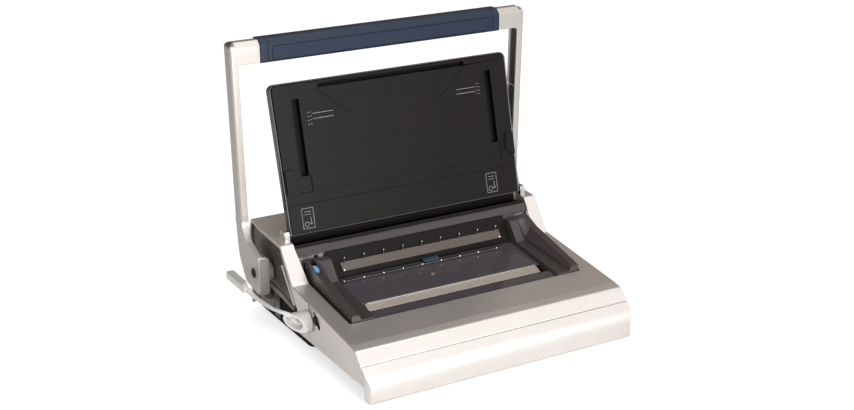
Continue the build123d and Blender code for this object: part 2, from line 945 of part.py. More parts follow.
def make_rear_wall():
    """The moulded wall behind the floor panel, with the seat of the wire strip."""
    slant = strip_depth
    seat_y = wall_foot_y + slant
    seat_z = wall_foot_z + slant
    top_y = lip_foot_y - 0.4
    top_z = lip_foot_z - 0.8
    wall = 2.0
    points = [
        (panel_rear_y + 0.6, panel_z(panel_rear_y) - panel_wall),
        (wall_foot_y, wall_foot_z),
        (seat_y, seat_z),
        (seat_y + 1.4, seat_z + 1.4),
        (top_y, top_z),
        (top_y + wall, top_z - 1),
        (seat_y + 1.4 + wall, seat_z + 0.6),
        (wall_foot_y + wall + 0.4, wall_foot_z - 1),
        (panel_rear_y + 0.6 + wall, panel_z(panel_rear_y) - panel_wall),
    ]
    half = rail_inner - 2 * seat_gap
    return slab_x(points, -half, half, [0, 1, 0, 3, 0, 0, 3, 1, 0])


def make_wire_strip():
    """The brushed metal strip with upright hooks for hanging a wire spine."""
    gap = seat_gap * 0.7
    y0, z0 = wall_foot_y - gap, wall_foot_z + gap
    y1, z1 = wall_foot_y + strip_depth - gap, wall_foot_z + strip_depth + gap
    off = strip_wall * 0.7071
    points = [(y0, z0), (y1, z1), (y1 - off, z1 + off), (y0 - off, z0 + off)]
    strip = slab_x(points, -strip_half, strip_half)
    hook_y = y1 - off - 0.6
    for i in range(hook_count):
        x = (i - (hook_count - 1) / 2) * hook_pitch
        strip = strip + Pos(x, hook_y, z1 - 1 + hook_height / 2) * Cylinder(hook_radius, hook_height)
    return strip


def make_throat_lip():
    """The sloping lip in front of the paper throat, notched along its top edge."""
    low_y, low_z = throat_point(die_high + seat_gap, throat_gap / 2 + 0.1)
    inner_y, inner_z = throat_point(die_high + seat_gap, throat_gap / 2 + 2.2)
    points = [
        (lip_foot_y, lip_foot_z),
        (throat_lip_y, throat_lip_z),
        (throat_lip_y + lip_wall, throat_lip_z),
        (low_y, low_z),
        (inner_y, inner_z),
        (throat_lip_y - 1.4, throat_lip_z - 5.2),
        (lip_foot_y + 2.2, lip_foot_z - 0.6),
    ]
    lip = slab_x(points, -lip_half, lip_half)
    notches = []
    for i in range(notch_count):
        x = (i - (notch_count - 1) / 2) * notch_pitch
        half = notch_width / 2
        bottom = throat_lip_z - notch_depth
        notches.append(block(x - half, x + half, throat_lip_y - 3, throat_lip_y + 5, bottom, bottom + 5))
    return lip - notches


def make_throat_back():
    """The plate behind the throat, flared to lead paper in from the lid."""
    plane = Plane(origin=(lip_half, throat_y, throat_z), x_dir=(0, -lean_cos, lean_sin), z_dir=(-1, 0, 0))
    face = -throat_gap / 2
    wall = back_guide_wall
    points = [
        (face, die_high + seat_gap),
        (face, die_high + 6),
        (-back_guide_flare, back_guide_top),
        (-back_guide_flare - wall, back_guide_top),
        (face - wall, die_high + 6),
        (face - wall, die_high + seat_gap),
    ]
    return plane * extrude(outline(points), amount=2 * lip_half, dir=(0, 0, 1))


def make_die_plate():
    """The steel die in front of the throat, with a row of holes."""
    front = throat_gap / 2
    plate = leaning_block(throat, -die_half, die_half, die_low, die_high, front, front + die_thick)
    return plate - pin_row(fit_gap, front - 1, front + die_thick + 1)


def make_guide_plate():
    """The steel plate behind the throat that guides the punch pins."""
    rear = -throat_gap / 2
    plate = leaning_block(throat, -guide_half, guide_half, die_low, die_high, rear - guide_thick, rear)
    return plate - pin_row(fit_gap, rear - guide_thick - 1, rear + 1)


def make_paper_stop():
    """The bar under the throat that the paper stands on, between die and guide."""
    gap = throat_gap / 2
    top = die_low - 0.2
    return leaning_block(throat, -die_half, die_half, top - 3, top, -gap - guide_thick, gap + die_thick)


def pin_row(grow, z0, z1):
    """The row of punch pins, or of the holes they pass through."""
    row = []
    for i in range(pin_count):
        x = (i - (pin_count - 1) / 2) * pin_pitch
        half_wide = pin_wide / 2 + grow
        half_tall = pin_tall / 2 + grow
        row.append(leaning_block(throat, x - half_wide, x + half_wide, -half_tall, half_tall, z0, z1))
    return row


def make_punch_pins():
    """The punch pins, one for each hole."""
    return pin_row(0, -bar_front_rest, -throat_gap / 2 - pin_tip_inset)


def make_punch_bar():
    """The steel bar that drives the pins, with a block for each cam, sliding in the chassis plates."""
    thick_half = bar_half - bar_tongue_length
    bar = leaning_block(throat, -thick_half, thick_half, bar_low, bar_high, -bar_rear_rest, -bar_front_rest)
    tongue = -bar_front_rest - bar_tongue
    bar = bar + leaning_block(throat, -bar_half, bar_half, bar_low, bar_high, tongue, -bar_front_rest)
    half = punch_cam_width / 2
    low = shaft_up - push_block_half
    high = shaft_up + push_block_half
    for x in (-punch_cam_x, punch_cam_x):
        bar = bar + leaning_block(throat, x - half, x + half, low, high, -push_reach, -bar_rear_rest)
    return bar


def eccentric(y, z, radius, throw, angle, bore, x0, x1):
    """A round cam whose middle lies off its shaft in the direction of an angle."""
    cam = rod_x(y + throw * cos(radians(angle)), z + throw * sin(radians(angle)), radius, x0, x1)
    return cam - rod_x(y, z, bore + fit_gap, x0 - 1, x1 + 1)


def make_punch_cams():
    """Two cams on the handle shaft that push the punch bar."""
    half = punch_cam_width / 2
    cam = eccentric(
        shaft_y,
        shaft_z,
        punch_cam_radius,
        punch_cam_throw,
        -lean_deg,
        shaft_radius,
        punch_cam_x - half,
        punch_cam_x + half,
    )
    return both_sides(cam)


def make_cross_shaft():
    """The steel shaft that joins both arms of the handle."""
    end = arm_foot_outer - arm_wall
    return rod_x(shaft_y, shaft_z, shaft_radius, -end, end)


def arm_points(inset=0.0):
    """Side outline of a handle arm from its hub to the grip, optionally drawn in."""
    front = arm_front_y + inset
    rear = arm_front_y + arm_depth - inset
    hub_y = shaft_y - hub_front + inset
    return [
        (hub_y, shaft_z - hub_low + inset),
        (hub_y, shaft_z + hub_top),
        (front - 10, shaft_z + 43),
        (front, shaft_z + 62),
        (front, grip_top_z - grip_chamfer),
        (front + grip_chamfer, grip_top_z - inset),
        (rear + 1.0, grip_top_z - inset),
        (rear, arm_straight_z + 20),
        (shaft_y + hub_rear + 22 - inset, shaft_z + 12),
        (shaft_y + hub_rear - inset, shaft_z - hub_low + 8),
    ]


def arm_radii():
    """Corner radii to go with arm_points."""
    return [7, 7, 24, 20, 2, 2, 8, 120, 60, 14]


def arm_front_view():
    """Front outline of the right arm: a deep hub, a slim arm that leans out, a turned corner."""
    end = grip_half + seat_gap
    return [
        (arm_foot_outer, shaft_z - 2 * hub_low),
        (arm_foot_outer, arm_straight_z),
        (arm_outer, grip_top_z),
        (end, grip_top_z),
        (end, grip_low_z),
        (arm_outer - arm_thick - 1, grip_low_z),
        (arm_foot_outer - arm_thick, arm_straight_z + 10),
        (arm_foot_outer - hub_waist, shaft_z + hub_top + 1),
        (hub_inner, shaft_z + hub_top - 1),
        (hub_inner, shaft_z - 2 * hub_low),
    ]


def channel_outline():
    """Side outline of the channel in the arm's inner face."""
    front = arm_front_y + arm_wall
    rear = arm_front_y + arm_depth - arm_wall
    top = grip_low_z - arm_wall
    return [(front, channel_low_z + 8), (front, top), (rear, top), (rear, channel_low_z - 6)]


def channel_rib(index):
    """Side face of one curved cross rib, which falls towards the front edge."""
    front = arm_front_y + arm_wall - 1
    rear = arm_front_y + arm_depth - arm_wall + 1
    top = channel_rib_top - index * channel_rib_pitch
    drop = channel_rib_drop + index * channel_rib_drop_step
    middle = (front + rear) / 2
    upper = Spline((rear, top), (middle, top - drop * 0.3), (front, top - drop))
    low = -channel_rib_wall
    lower = Spline((rear, top + low), (middle, top + low - drop * 0.3), (front, top + low - drop))
    sides = [Line(upper @ 0, lower @ 0), Line(upper @ 1, lower @ 1)]
    return make_face([upper.edge(), lower.edge()] + [side.edge() for side in sides])


def edge_round(face_x, edge_y, inwards):
    """A cutter that rounds one long outer edge of the slim arm, before it is leaned."""
    radius = arm_edge_radius
    middle_x = face_x - radius
    middle_y = edge_y + inwards * radius
    low = arm_straight_z + 3 * radius
    height = grip_top_z - low
    middle_z = low + height / 2
    square = Pos(face_x, edge_y, middle_z) * Box(2 * radius, 2 * radius, height)
    return square - Pos(middle_x, middle_y, middle_z) * Cylinder(radius, height)


def make_arm(side):
    """A silver arm: a deep hub, a ribbed channel open inwards and a turned corner."""
    rear = arm_front_y + arm_depth
    view_radii = [0, 60, corner_radius, 0, 0, inner_corner_radius, 20, 2, 1, 0]
    arm = slab_y(arm_front_view(), shaft_y - 2 * hub_front, rear + 5, view_radii)
    arm = arm & slab_x(arm_points(), grip_half, arm_outer + 1, arm_radii())
    spread = arm_spread / (grip_top_z - arm_straight_z)
    face_x = arm_outer - (grip_top_z - grip_low_z) * spread
    floor_x = face_x - (arm_thick - channel_depth)
    channel = slab_x(channel_outline(), floor_x - 2 * arm_thick, floor_x, [4, 2, 2, 4])
    for i in range(channel_ribs):
        rib_plane = Plane.YZ.offset(floor_x - channel_depth + 1)
        channel = channel - extrude(rib_plane * channel_rib(i), amount=channel_depth, dir=(1, 0, 0))
    lean = Pos(face_x, 0, grip_low_z) * Rot(0, degrees(atan2(spread, 1)), 0) * Pos(-face_x, 0, -grip_low_z)
    for cutter in (channel, edge_round(face_x, arm_front_y, 1), edge_round(face_x, rear, -1)):
        arm = arm - lean * cutter
    bore_end = arm_foot_outer - arm_wall + seat_gap
    arm = arm - rod_x(shaft_y, shaft_z, shaft_radius + fit_gap, hub_inner - 1, bore_end)
    arm = arm - grip_bore(grip_half - 1, grip_half + tube_reach + 1)
    slot = Pos(shaft_y, shaft_z) * Rot(0, 0, 90) * SlotOverall(3 * screw_radius, 2 * screw_radius)
    recess = Plane.YZ.offset(arm_foot_outer - screw_recess) * slot
    arm = arm - extrude(recess, amount=2 * screw_recess, dir=(1, 0, 0))
    return arm if side > 0 else mirror(arm, about=Plane.YZ)


def make_hub_collars():
    """Dark ribbed collars between the arms and the side panels."""
    start = casing_half - side_panel_inset + 2 * seat_gap
    end = hub_inner
    collar = rod_x(shaft_y, shaft_z, hub_collar_radius, start, end)
    collar = collar - rod_x(shaft_y, shaft_z, shaft_radius + fit_gap, start - 1, end + 1)
    grooves = []
    for i in range(collar_ribs):
        angle = 360 / collar_ribs * i
        groove = Pos(shaft_y, shaft_z) * Rot(0, 0, angle) * Pos(hub_collar_radius, 0) * Rectangle(2.4, 1.6)
        grooves.append(extrude(Plane.YZ.offset(start + 1) * groove, amount=end - start - 2, dir=(1, 0, 0)))
    return both_sides(collar - grooves)


def make_hub_screws():
    """The screw in each arm's oval recess."""
    x0 = arm_foot_outer - screw_recess
    head = screw_recess - 0.5
    screw = rod_x(shaft_y, shaft_z, screw_radius - seat_gap, x0, x0 + head)
    long = 0.7 * screw_radius
    slot = block(x0 + head / 2, x0 + 2 * head, shaft_y - long, shaft_y + long, shaft_z - 0.6, shaft_z + 0.6)
    return both_sides(screw - slot)


def grip_bore(x0, x1):
    """The bore for the tube, through the grip's middle."""
    return rod_x(grip_middle_y, grip_middle_z, tube_radius + fit_gap, x0, x1)


def grip_outline(grow, chamfer):
    """Side outline of the grip with its chamfered front edge."""
    return [
        (grip_front_y - grow, grip_low_z - grow),
        (grip_front_y - grow, grip_top_z - chamfer),
        (grip_front_y + chamfer, grip_top_z + grow),
        (grip_rear_y + grow, grip_top_z + grow),
        (grip_rear_y + grow, grip_low_z - grow),
    ]


def make_grip():
    """The blue grip moulding with an inset front panel."""
    half = grip_half - grip_collar - seat_gap
    grip = slab_x(grip_outline(grip_swell, grip_chamfer), -half, half, [4, 1.5, 2, 5, 5])
    front = grip_front_y - grip_swell
    margin = grip_collar / 2
    low = grip_low_z + 2
    high = grip_top_z - grip_chamfer - 2
    inner = half - margin
    inset_points = [(-inner, low), (inner, low), (inner, high), (-inner, high)]
    inset = slab_y(inset_points, front - 1, front + grip_inset, 2)
    return grip - inset - grip_bore(-half - 1, half + 1)


def make_grip_pad():
    """The slightly softer pad set in the grip's front."""
    half = grip_half - grip_collar - seat_gap - grip_collar / 2 - 1
    front = grip_front_y - grip_swell
    low = grip_low_z + 3
    high = grip_top_z - grip_chamfer - 3
    points = [(-half, low), (half, low), (half, high), (-half, high)]
    return slab_y(points, front + seat_gap, front + grip_inset, 1.5)


def make_grip_collars():
    """The end pieces of the grip against the arms."""
    start = grip_half - grip_collar
    collar = slab_x(grip_outline(grip_swell, grip_chamfer), start, grip_half, [4, 1.5, 2, 5, 5])
    return both_sides(collar - grip_bore(start - 1, grip_half + 1))


def make_grip_tube():
    """The steel tube inside the grip that ties the arms together."""
    end = grip_half + tube_reach
    tube = rod_x(grip_middle_y, grip_middle_z, tube_radius, -end, end)
    return tube - rod_x(grip_middle_y, grip_middle_z, tube_radius - tube_wall, -end - 1, end + 1)


def lid_outline(inset):
    """Outline of the lid in its own plane, a little wider at the top, optionally drawn in."""
    low_half = lid_half - inset
    top_half = lid_half + lid_flare - inset
    low = -lid_foot + inset
    high = lid_height - inset
    return [(-low_half, low), (low_half, low), (top_half, high), (-top_half, high)]


def lid_side(up):
    """Half width of the lid at a height up its plane."""
    return lid_half + lid_flare * (up + lid_foot) / (lid_height + lid_foot)


def lid_cut(x0, x1, low, high, depth, radii=0):
    """A four-sided cut into the lid's front face."""
    points = [(x0, low), (x1, low), (x1, high), (x0, high)]
    return leaning_slab(lid_plane, points, lid_front - depth, lid_front + 1, radii)


def make_lid_shell():
    """The glossy back shell of the lid, with the bores of its hinge pins."""
    radii = [2, 2, lid_corner, lid_corner]
    shell = leaning_slab(lid_plane, lid_outline(0), -lid_back, lid_front - lid_rim_drop, radii)
    wall = lid_wall
    inner_radii = [1, 1, lid_corner - wall, lid_corner - wall]
    shell = shell - leaning_slab(lid_plane, lid_outline(wall), -lid_back + wall, lid_front, inner_radii)
    return shell - rod_x(hinge_y, hinge_z, hinge_pin_radius + fit_gap, -lid_half - 1, lid_half + 1)


def make_lid_panel():
    """The matt front panel of the lid: slots, finger groove, ribs, grab pads and a stepped foot."""
    inset = lid_wall + seat_gap
    corner = lid_corner - lid_wall
    radii = [1, 1, corner, corner]
    panel = leaning_slab(lid_plane, lid_outline(inset), -lid_back + inset, lid_front, radii)
    wall = 2.0
    back = lid_front - lid_panel_plate
    panel = panel - leaning_slab(lid_plane, lid_outline(inset + wall), -lid_back, back, radii)
    slot_x = lid_half - lid_slot_inset
    for side in (-1, 1):
        half = side * lid_slot_width / 2
        x = side * slot_x
        panel = panel - lid_cut(x - half, x + half, lid_slot_low, lid_slot_high, lid_panel_plate + 1)
        half = side * lid_pocket_width / 2
        panel = panel - lid_cut(x - half, x + half, lid_pocket_low, lid_slot_low, lid_pocket_depth)
    groove_half = lid_half - lid_groove_inset
    panel = panel - lid_cut(-groove_half, groove_half, lid_groove_low, lid_groove_high, lid_panel_plate + 1)
    reach = lid_half + lid_flare
    panel = panel - lid_cut(-reach, reach, lid_band_low, lid_band_high, lid_band_depth)
    panel = panel - lid_cut(-reach, reach, -2 * lid_foot, lid_band_low, lid_foot_depth)
    for side in (-1, 1):
        top_x = side * lid_rib_top_x
        low_x = side * lid_rib_low_x
        rise = lid_groove_low - lid_rib_low
        length = hypot(top_x - low_x, rise) - 4
        angle = degrees(atan2(rise, top_x - low_x))
        place = Pos((top_x + low_x) / 2, lid_rib_low + rise / 2, lid_front)
        rib = place * Rot(0, 0, angle) * Box(length, lid_rib_width, 2 * lid_rib_rise)
        panel = panel + lid_plane * rib
        outer = side * (lid_side(lid_grab_low) - inset - 0.5)
        inner = outer - side * lid_grab_width
        points = [
            (outer, lid_grab_low),
            (inner, lid_grab_low + 8),
            (inner + side * 2, lid_grab_high),
            (outer, lid_grab_high),
        ]
        panel = panel + leaning_slab(lid_plane, points, back, lid_front + lid_grab_rise, [1, 2, 3, 1])
    return panel - rod_x(hinge_y, hinge_z, hinge_pin_radius + seat_gap, -lid_half - 1, lid_half + 1)


def make_lid_hinge_pins():
    """Two short hinge pins at the lid's lower corners."""
    pin = rod_x(hinge_y, hinge_z, hinge_pin_radius, lid_half - 7, ear_inner + ear_width - 1.3)
    return both_sides(pin)


def make_hinge_ears():
    """The bright ears on the shoulders that hold the lid's pins."""
    slope = (crown_z - brow_z) / (crown_y - brow_y)

    def top_z(y):
        return brow_z + slope * (y - brow_y)

    front = hinge_y - ear_radius - 1
    rear = hinge_y + ear_radius + 6
    points = [
        (front, top_z(front)),
        (hinge_y - ear_radius, hinge_z + ear_radius),
        (hinge_y + ear_radius, hinge_z + ear_radius),
        (rear, top_z(rear)),
    ]
    ear = slab_x(points, ear_inner, ear_inner + ear_width, [0, 5, 5, 0])
    bore_end = ear_inner + ear_width - 1
    return both_sides(ear - rod_x(hinge_y, hinge_z, hinge_pin_radius + fit_gap, ear_inner - 1, bore_end))


def make_closer_shaft():
    """The steel shaft from the lever through both chassis plates."""
    start = -casing_half - knob_reach + 14
    return rod_x(closer_y, closer_z, closer_radius, start, chassis_x + chassis_wall + 2)


def make_closer_cams():
    """Two cams on the closer shaft behind the carriage."""
    half = closer_cam_width / 2
    cam = eccentric(
        closer_y,
        closer_z,
        closer_cam_radius,
        closer_cam_throw,
        closer_cam_phase,
        closer_radius,
        closer_cam_x - half,
        closer_cam_x + half,
    )
    return both_sides(cam)


def make_closer_knob():
    """The dished knob at the lever's pivot, its face cut at a slant."""
    inner = -casing_half - 0.8
    outer = -casing_half - knob_reach
    knob = rod_x(closer_y, closer_z, knob_radius, outer, inner)
    knob = fillet(knob.edges().filter_by(lambda e: abs(e.center().X - inner) < 0.1), 1.5)
    middle_x = outer + knob_radius * hypot(knob_cut_y, knob_cut_z)
    normal = Vector(-1, -knob_cut_y, -knob_cut_z).normalized()
    cut_plane = Plane(origin=(middle_x, closer_y, closer_z), z_dir=normal)
    knob = knob - cut_plane * Pos(0, 0, 30) * Box(120, 120, 60)
    dish = cut_plane * (Pos(0, 0, knob_dish_radius * 0.55) * Sphere(knob_dish_radius))
    knob = knob - dish
    return knob - rod_x(closer_y, closer_z, closer_radius + fit_gap, outer + 13, inner + 1)


def make_closer_lever():
    """The long curved lever that runs back from the knob to the ribbed pad."""
    thick = lever_thick
    knob_top_y = closer_y + knob_radius * 0.55
    start = (knob_top_y, closer_z + knob_radius * 0.75)
    upper = Spline(
        start,
        (closer_y + 38, lever_z + 1.4),
        (closer_y + 75, lever_z + 1.0),
        (lever_pad_start, lever_z),
        tangents=((0.6, 0.7), (1, 0)),
    )
    lower = Spline(
        (start[0] + 4.5, start[1] - 7),
        (closer_y + 38, lever_z + 1.4 - thick),
        (closer_y + 75, lever_z + 1.0 - thick),
        (lever_pad_start, lever_z - thick),
        tangents=((0.6, 0.7), (1, 0)),
    )
    ends = [Line(upper @ 0, lower @ 0), Line(upper @ 1, lower @ 1)]
    side_face = make_face([upper.edge(), lower.edge()] + [end.edge() for end in ends])
    width = lever_outer - lever_inner
    blade = extrude(Plane.YZ.offset(-lever_outer) * side_face, amount=width, dir=(1, 0, 0))
    pad = slab_z(
        [
            (-lever_pad_outer, lever_pad_start - 6),
            (-lever_inner, lever_pad_start + 10),
            (-lever_inner, lever_pad_end),
            (-lever_pad_outer, lever_pad_end + 3),
        ],
        lever_z - thick,
        lever_z,
        [3, 3, 3, 3],
    )
    neck_rear = lever_pad_start + 20
    neck = block(-lever_outer, -lever_inner, lever_pad_start - 2, neck_rear, lever_z - thick, lever_z)
    root_x = -casing_half - knob_reach
    root_points = [
        (start[0] - 1, start[1] - 1.5),
        (start[0] + 3.5, start[1] + 3),
        (start[0] + 8.5, start[1] - 1),
        (start[0] + 4, start[1] - 7),
    ]
    root = slab_x(root_points, -lever_outer, root_x - seat_gap, [1, 1, 1, 1])
    return blade + pad + neck + root


def make_lever_pad():
    """The grey ribbed finger pad on top of the lever's rear end."""
    z0 = lever_z
    pad = slab_z(
        [
            (-lever_pad_outer + 1, lever_pad_start + 1),
            (-lever_inner - 1, lever_pad_start + 14),
            (-lever_inner - 1, lever_pad_end - 1),
            (-lever_pad_outer + 1, lever_pad_end + 1),
        ],
        z0,
        z0 + pad_thick,
        2,
    )
    grooves = []
    pitch = (lever_pad_end - lever_pad_start - 22) / pad_rib_count
    for i in range(pad_rib_count):
        y = lever_pad_start + 18 + i * pitch
        groove_low = z0 + pad_thick - pad_rib_depth
        grooves.append(block(-lever_pad_outer - 1, -lever_inner + 1, y, y + pitch * 0.45, groove_low, z0 + 3))
    return pad - grooves


def make_closer_bar():
    """The bright bar that presses the wire closed."""
    rise = bar_edge_z - bar_nose_z
    run = bar_edge_y - bar_nose_y
    foot_z_low = carriage_low_z + carriage_wall
    points = [
        (bar_nose_y, bar_nose_z - bar_sheet),
        (bar_nose_y, bar_nose_z),
        (bar_edge_y, bar_edge_z),
        (bar_edge_y + 1.7, bar_edge_z - 0.6),
        (bar_edge_y + 1.7, foot_z_low),
        (bar_edge_y - 0.3, foot_z_low),
        (bar_edge_y - 0.3, bar_edge_z - 2.2),
        (bar_edge_y - 0.3 - (run - 1) * 0.9, bar_edge_z - 2.2 - rise * 0.9),
    ]
    return slab_x(points, -bar_length_half, bar_length_half, [0.5, 0.5, 0.8, 0.5, 0, 0, 0, 0])


def make_closer_carriage():
    """The slide under the closer bar, with a tongue at each end and two cam followers."""
    z0 = carriage_low_z
    z1 = z0 + carriage_wall
    cam_front = closer_y + closer_cam_throw * cos(radians(closer_cam_phase)) - closer_cam_radius
    flange_rear = cam_front - closer_rest_gap
    web_rear = flange_rear - carriage_wall
    web_front = bar_edge_y - 5
    half = bar_length_half - 1
    tongue = rail_inner + carriage_reach
    plan = [
        (-half, web_front),
        (half, web_front),
        (half, bar_edge_y + 1.8),
        (tongue, bar_edge_y + 1.8),
        (tongue, web_rear),
        (-tongue, web_rear),
        (-tongue, bar_edge_y + 1.8),
        (-half, bar_edge_y + 1.8),
    ]
    carriage = slab_z(plan, z0, z1)
    for side in (-1, 1):
        x = side * closer_cam_x
        half_cam = closer_cam_width / 2
        carriage = carriage + block(x - half_cam, x + half_cam, web_rear - 0.5, flange_rear, closer_z - 8, z1)
    return carriage


def make_size_button():
    """The button that slides in the left wall's slot, with a flange behind the wall."""
    tilt = selector_tilt
    stem = obround(selector_y, selector_z, button_length, selector_width - 1.0, tilt)
    flange = obround(selector_y, selector_z, button_length + 5, selector_width + 4, tilt)
    wall_inner = -casing_half + casing_wall
    button = extrude(Plane.YZ.offset(-casing_half - 2.5) * stem, amount=button_depth, dir=(1, 0, 0))
    button = button + extrude(Plane.YZ.offset(wall_inner + 0.4) * flange, amount=1.6, dir=(1, 0, 0))
    groove = Pos(selector_y, selector_z) * Rot(0, 0, tilt) * Rectangle(2, 20)
    return button - extrude(Plane.YZ.offset(-casing_half - 3) * groove, amount=1.2, dir=(1, 0, 0))


def make_guide_wheel():
    """The blue ribbed thumb wheel with its screw spindle bored to the middle."""
    x0 = -wheel_outer
    wheel = rod_x(wheel_y, wheel_z, wheel_radius, x0, x0 + wheel_width)
    wheel = wheel - rod_x(wheel_y, wheel_z, spindle_radius + fit_gap, x0 - 1, x0 + wheel_width + 1)
    grooves = []
    for i in range(wheel_teeth):
        angle = 360 / wheel_teeth * i
        y = wheel_y + wheel_radius * cos(radians(angle))
        z = wheel_z + wheel_radius * sin(radians(angle))
        cutter = Pos(y, z) * Rot(0, 0, angle + 45) * Rectangle(2 * tooth_groove, 2 * tooth_groove)
        grooves.append(extrude(Plane.YZ.offset(x0 - 1) * cutter, amount=wheel_width + 2, dir=(1, 0, 0)))
    return wheel - grooves


def make_guide_spindle():
    """The thin screw spindle that moves the edge guide."""
    return rod_x(wheel_y, wheel_z, spindle_radius, -rail_outer + seat_gap, -rail_inner - 0.5)


def make_edge_guide():
    """The paper edge guide: a nut on the spindle, an arm and a tab in the throat."""
    middle = -(guide_block_outer + guide_block_inner) / 2
    left = middle - guide_arm_half
    right = middle + guide_arm_half
    outer = -guide_block_outer
    inner = -guide_block_inner
    nut = block(outer, inner, wheel_y - 3.1, wheel_y + 6, wheel_z - 5, wheel_z + 3.3)
    nut = nut - rod_x(wheel_y, wheel_z, spindle_radius + fit_gap, outer - 1, inner + 1)
    arm = block(left, right, wheel_y + 5.5, throat_y, wheel_z - 2, wheel_z + 3)
    thin = throat_gap / 2 - seat_gap
    tab = leaning_block(throat, left, right, die_low + slide_gap, guide_tab_top, -thin, thin)
    behind = leaning_block(throat, middle - 10, middle + 10, -60, 60, -60, -thin)
    return nut + (arm - behind) + tab


def make_panel_catch():
    """The small blue ribbed slide at the back of the floor panel."""
    rear = catch_rear_y
    front = rear - catch_depth
    base = panel_z(rear) + seat_gap
    points = [
        (front, panel_z(front) + seat_gap),
        (front + 1.5, base + catch_height * 0.5),
        (rear - 1.5, base + catch_height),
        (rear, base + catch_height),
        (rear, base),
    ]
    catch = slab_x(points, catch_x - catch_length / 2, catch_x + catch_length / 2, [0, 1, 1, 0, 0])
    grooves = []
    pitch = catch_length / (catch_ribs + 1)
    groove_low = base + catch_height * 0.62
    for i in range(catch_ribs):
        x = catch_x - catch_length / 2 + pitch * (i + 1)
        grooves.append(block(x - 0.6, x + 0.6, front + 1.2, rear + 1, groove_low, base + catch_height + 2))
    return catch - grooves


def write(name, shape):
    """Write one named piece, or a group of like pieces, at the machine's origin."""
    solids = []
    for piece in shape if isinstance(shape, list) else [shape]:
        solids += list((Pos(-origin_x, -origin_y, 0) * piece).solids())
    result = solids[0] if len(solids) == 1 else Compound(children=solids)
    export_step(result, f"parts/{name}.step")


def main():
    os.makedirs("parts", exist_ok=True)
    pieces = {
        "main_cover": make_main_cover,
        "base_pan": make_base_pan,
        "rubber_feet": make_feet,
        "side_posts": make_side_posts,
        "drawer_runners": make_drawer_runners,
        "shaft_bushes": make_shaft_bushes,
        "front_band": make_front_band,
        "floor_panel": make_floor_panel,
        "rear_wall": make_rear_wall,
        "wire_strip": make_wire_strip,
        "throat_lip": make_throat_lip,
        "throat_back": make_throat_back,
        "die_plate": make_die_plate,
        "guide_plate": make_guide_plate,
        "paper_stop": make_paper_stop,
        "hinge_ears": make_hinge_ears,
        "cross_shaft": make_cross_shaft,
        "punch_cams": make_punch_cams,
        "hub_collars": make_hub_collars,
        "hub_screws": make_hub_screws,
        "grip": make_grip,
        "grip_pad": make_grip_pad,
        "grip_collars": make_grip_collars,
        "grip_tube": make_grip_tube,
        "punch_bar": make_punch_bar,
        "punch_pins": make_punch_pins,
        "lid_shell": make_lid_shell,
        "lid_panel": make_lid_panel,
        "lid_hinge_pins": make_lid_hinge_pins,
        "chip_tray": make_chip_tray,
        "drawer_front": make_drawer_front,
        "closer_shaft": make_closer_shaft,
        "closer_cams": make_closer_cams,
        "closer_knob": make_closer_knob,
        "closer_lever": make_closer_lever,
        "lever_pad": make_lever_pad,
        "closer_bar": make_closer_bar,
        "closer_carriage": make_closer_carriage,
        "size_button": make_size_button,
        "guide_wheel": make_guide_wheel,
        "guide_spindle": make_guide_spindle,
        "edge_guide": make_edge_guide,
        "panel_catch": make_panel_catch,
    }
    for name, make in pieces.items():
        write(name, make())
    for side, word in ((-1, "left"), (1, "right")):
        write(f"{word}_side_panel", make_side_panel(side))
        write(f"{word}_chassis_plate", make_chassis(side))
        write(f"{word}_cheek", make_cheek(side))
        write(f"{word}_rail", make_rail(side))
        write(f"{word}_arm", make_arm(side))


main()
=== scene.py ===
"""Looks for the desk wire binding machine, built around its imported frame."""

import json
import math

import bmesh
import bpy
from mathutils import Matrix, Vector
from mathutils.bvhtree import BVHTree


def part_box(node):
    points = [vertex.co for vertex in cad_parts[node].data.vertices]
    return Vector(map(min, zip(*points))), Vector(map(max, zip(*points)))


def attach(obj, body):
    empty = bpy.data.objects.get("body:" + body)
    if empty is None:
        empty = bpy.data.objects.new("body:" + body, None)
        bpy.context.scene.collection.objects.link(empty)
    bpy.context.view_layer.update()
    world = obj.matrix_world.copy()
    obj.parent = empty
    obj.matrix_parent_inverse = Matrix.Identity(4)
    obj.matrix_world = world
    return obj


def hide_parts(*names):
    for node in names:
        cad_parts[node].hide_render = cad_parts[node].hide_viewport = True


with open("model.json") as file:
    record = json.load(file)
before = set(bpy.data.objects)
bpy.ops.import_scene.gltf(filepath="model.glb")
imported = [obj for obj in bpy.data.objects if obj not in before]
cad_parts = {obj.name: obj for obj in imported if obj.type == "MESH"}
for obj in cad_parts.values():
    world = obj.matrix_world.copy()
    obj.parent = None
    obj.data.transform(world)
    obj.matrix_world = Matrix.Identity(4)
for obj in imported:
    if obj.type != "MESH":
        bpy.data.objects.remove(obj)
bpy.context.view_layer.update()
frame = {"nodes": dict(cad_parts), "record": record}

MM = 0.001

# The drawing's zero is on the table under the front seam's middle.
# The frame's is under the machine's middle.
MIDDLE_X = -9.8678
MIDDLE_Y = 165.5

# The lid: how far it leans back about its hinge line, that line, and how far forward its front lies
LEAN = math.radians(14.5)
HINGE_Y = 256.0
HINGE_Z = 146.0
LID_FRONT = 8.0

# The lid's paper slots: their lower and upper ends, up from the hinge, and how far they reach sideways
SLOTS_LOW = 79.5
SLOTS_HIGH = 190.5
SLOTS_REACH = 185

# The glossy floor panel of the well
PANEL_FRONT_Y = 127.7
PANEL_FRONT_Z = 77.5
PANEL_SLOPE = 0.112

# The closer's axis, seen from the side
CLOSER_Y = 151.3
CLOSER_Z = 58.8

# The hooks of the wire strip, and the pins below them: their number and the step from one to the next
HOOK_COUNT = 9
HOOK_PITCH = 32

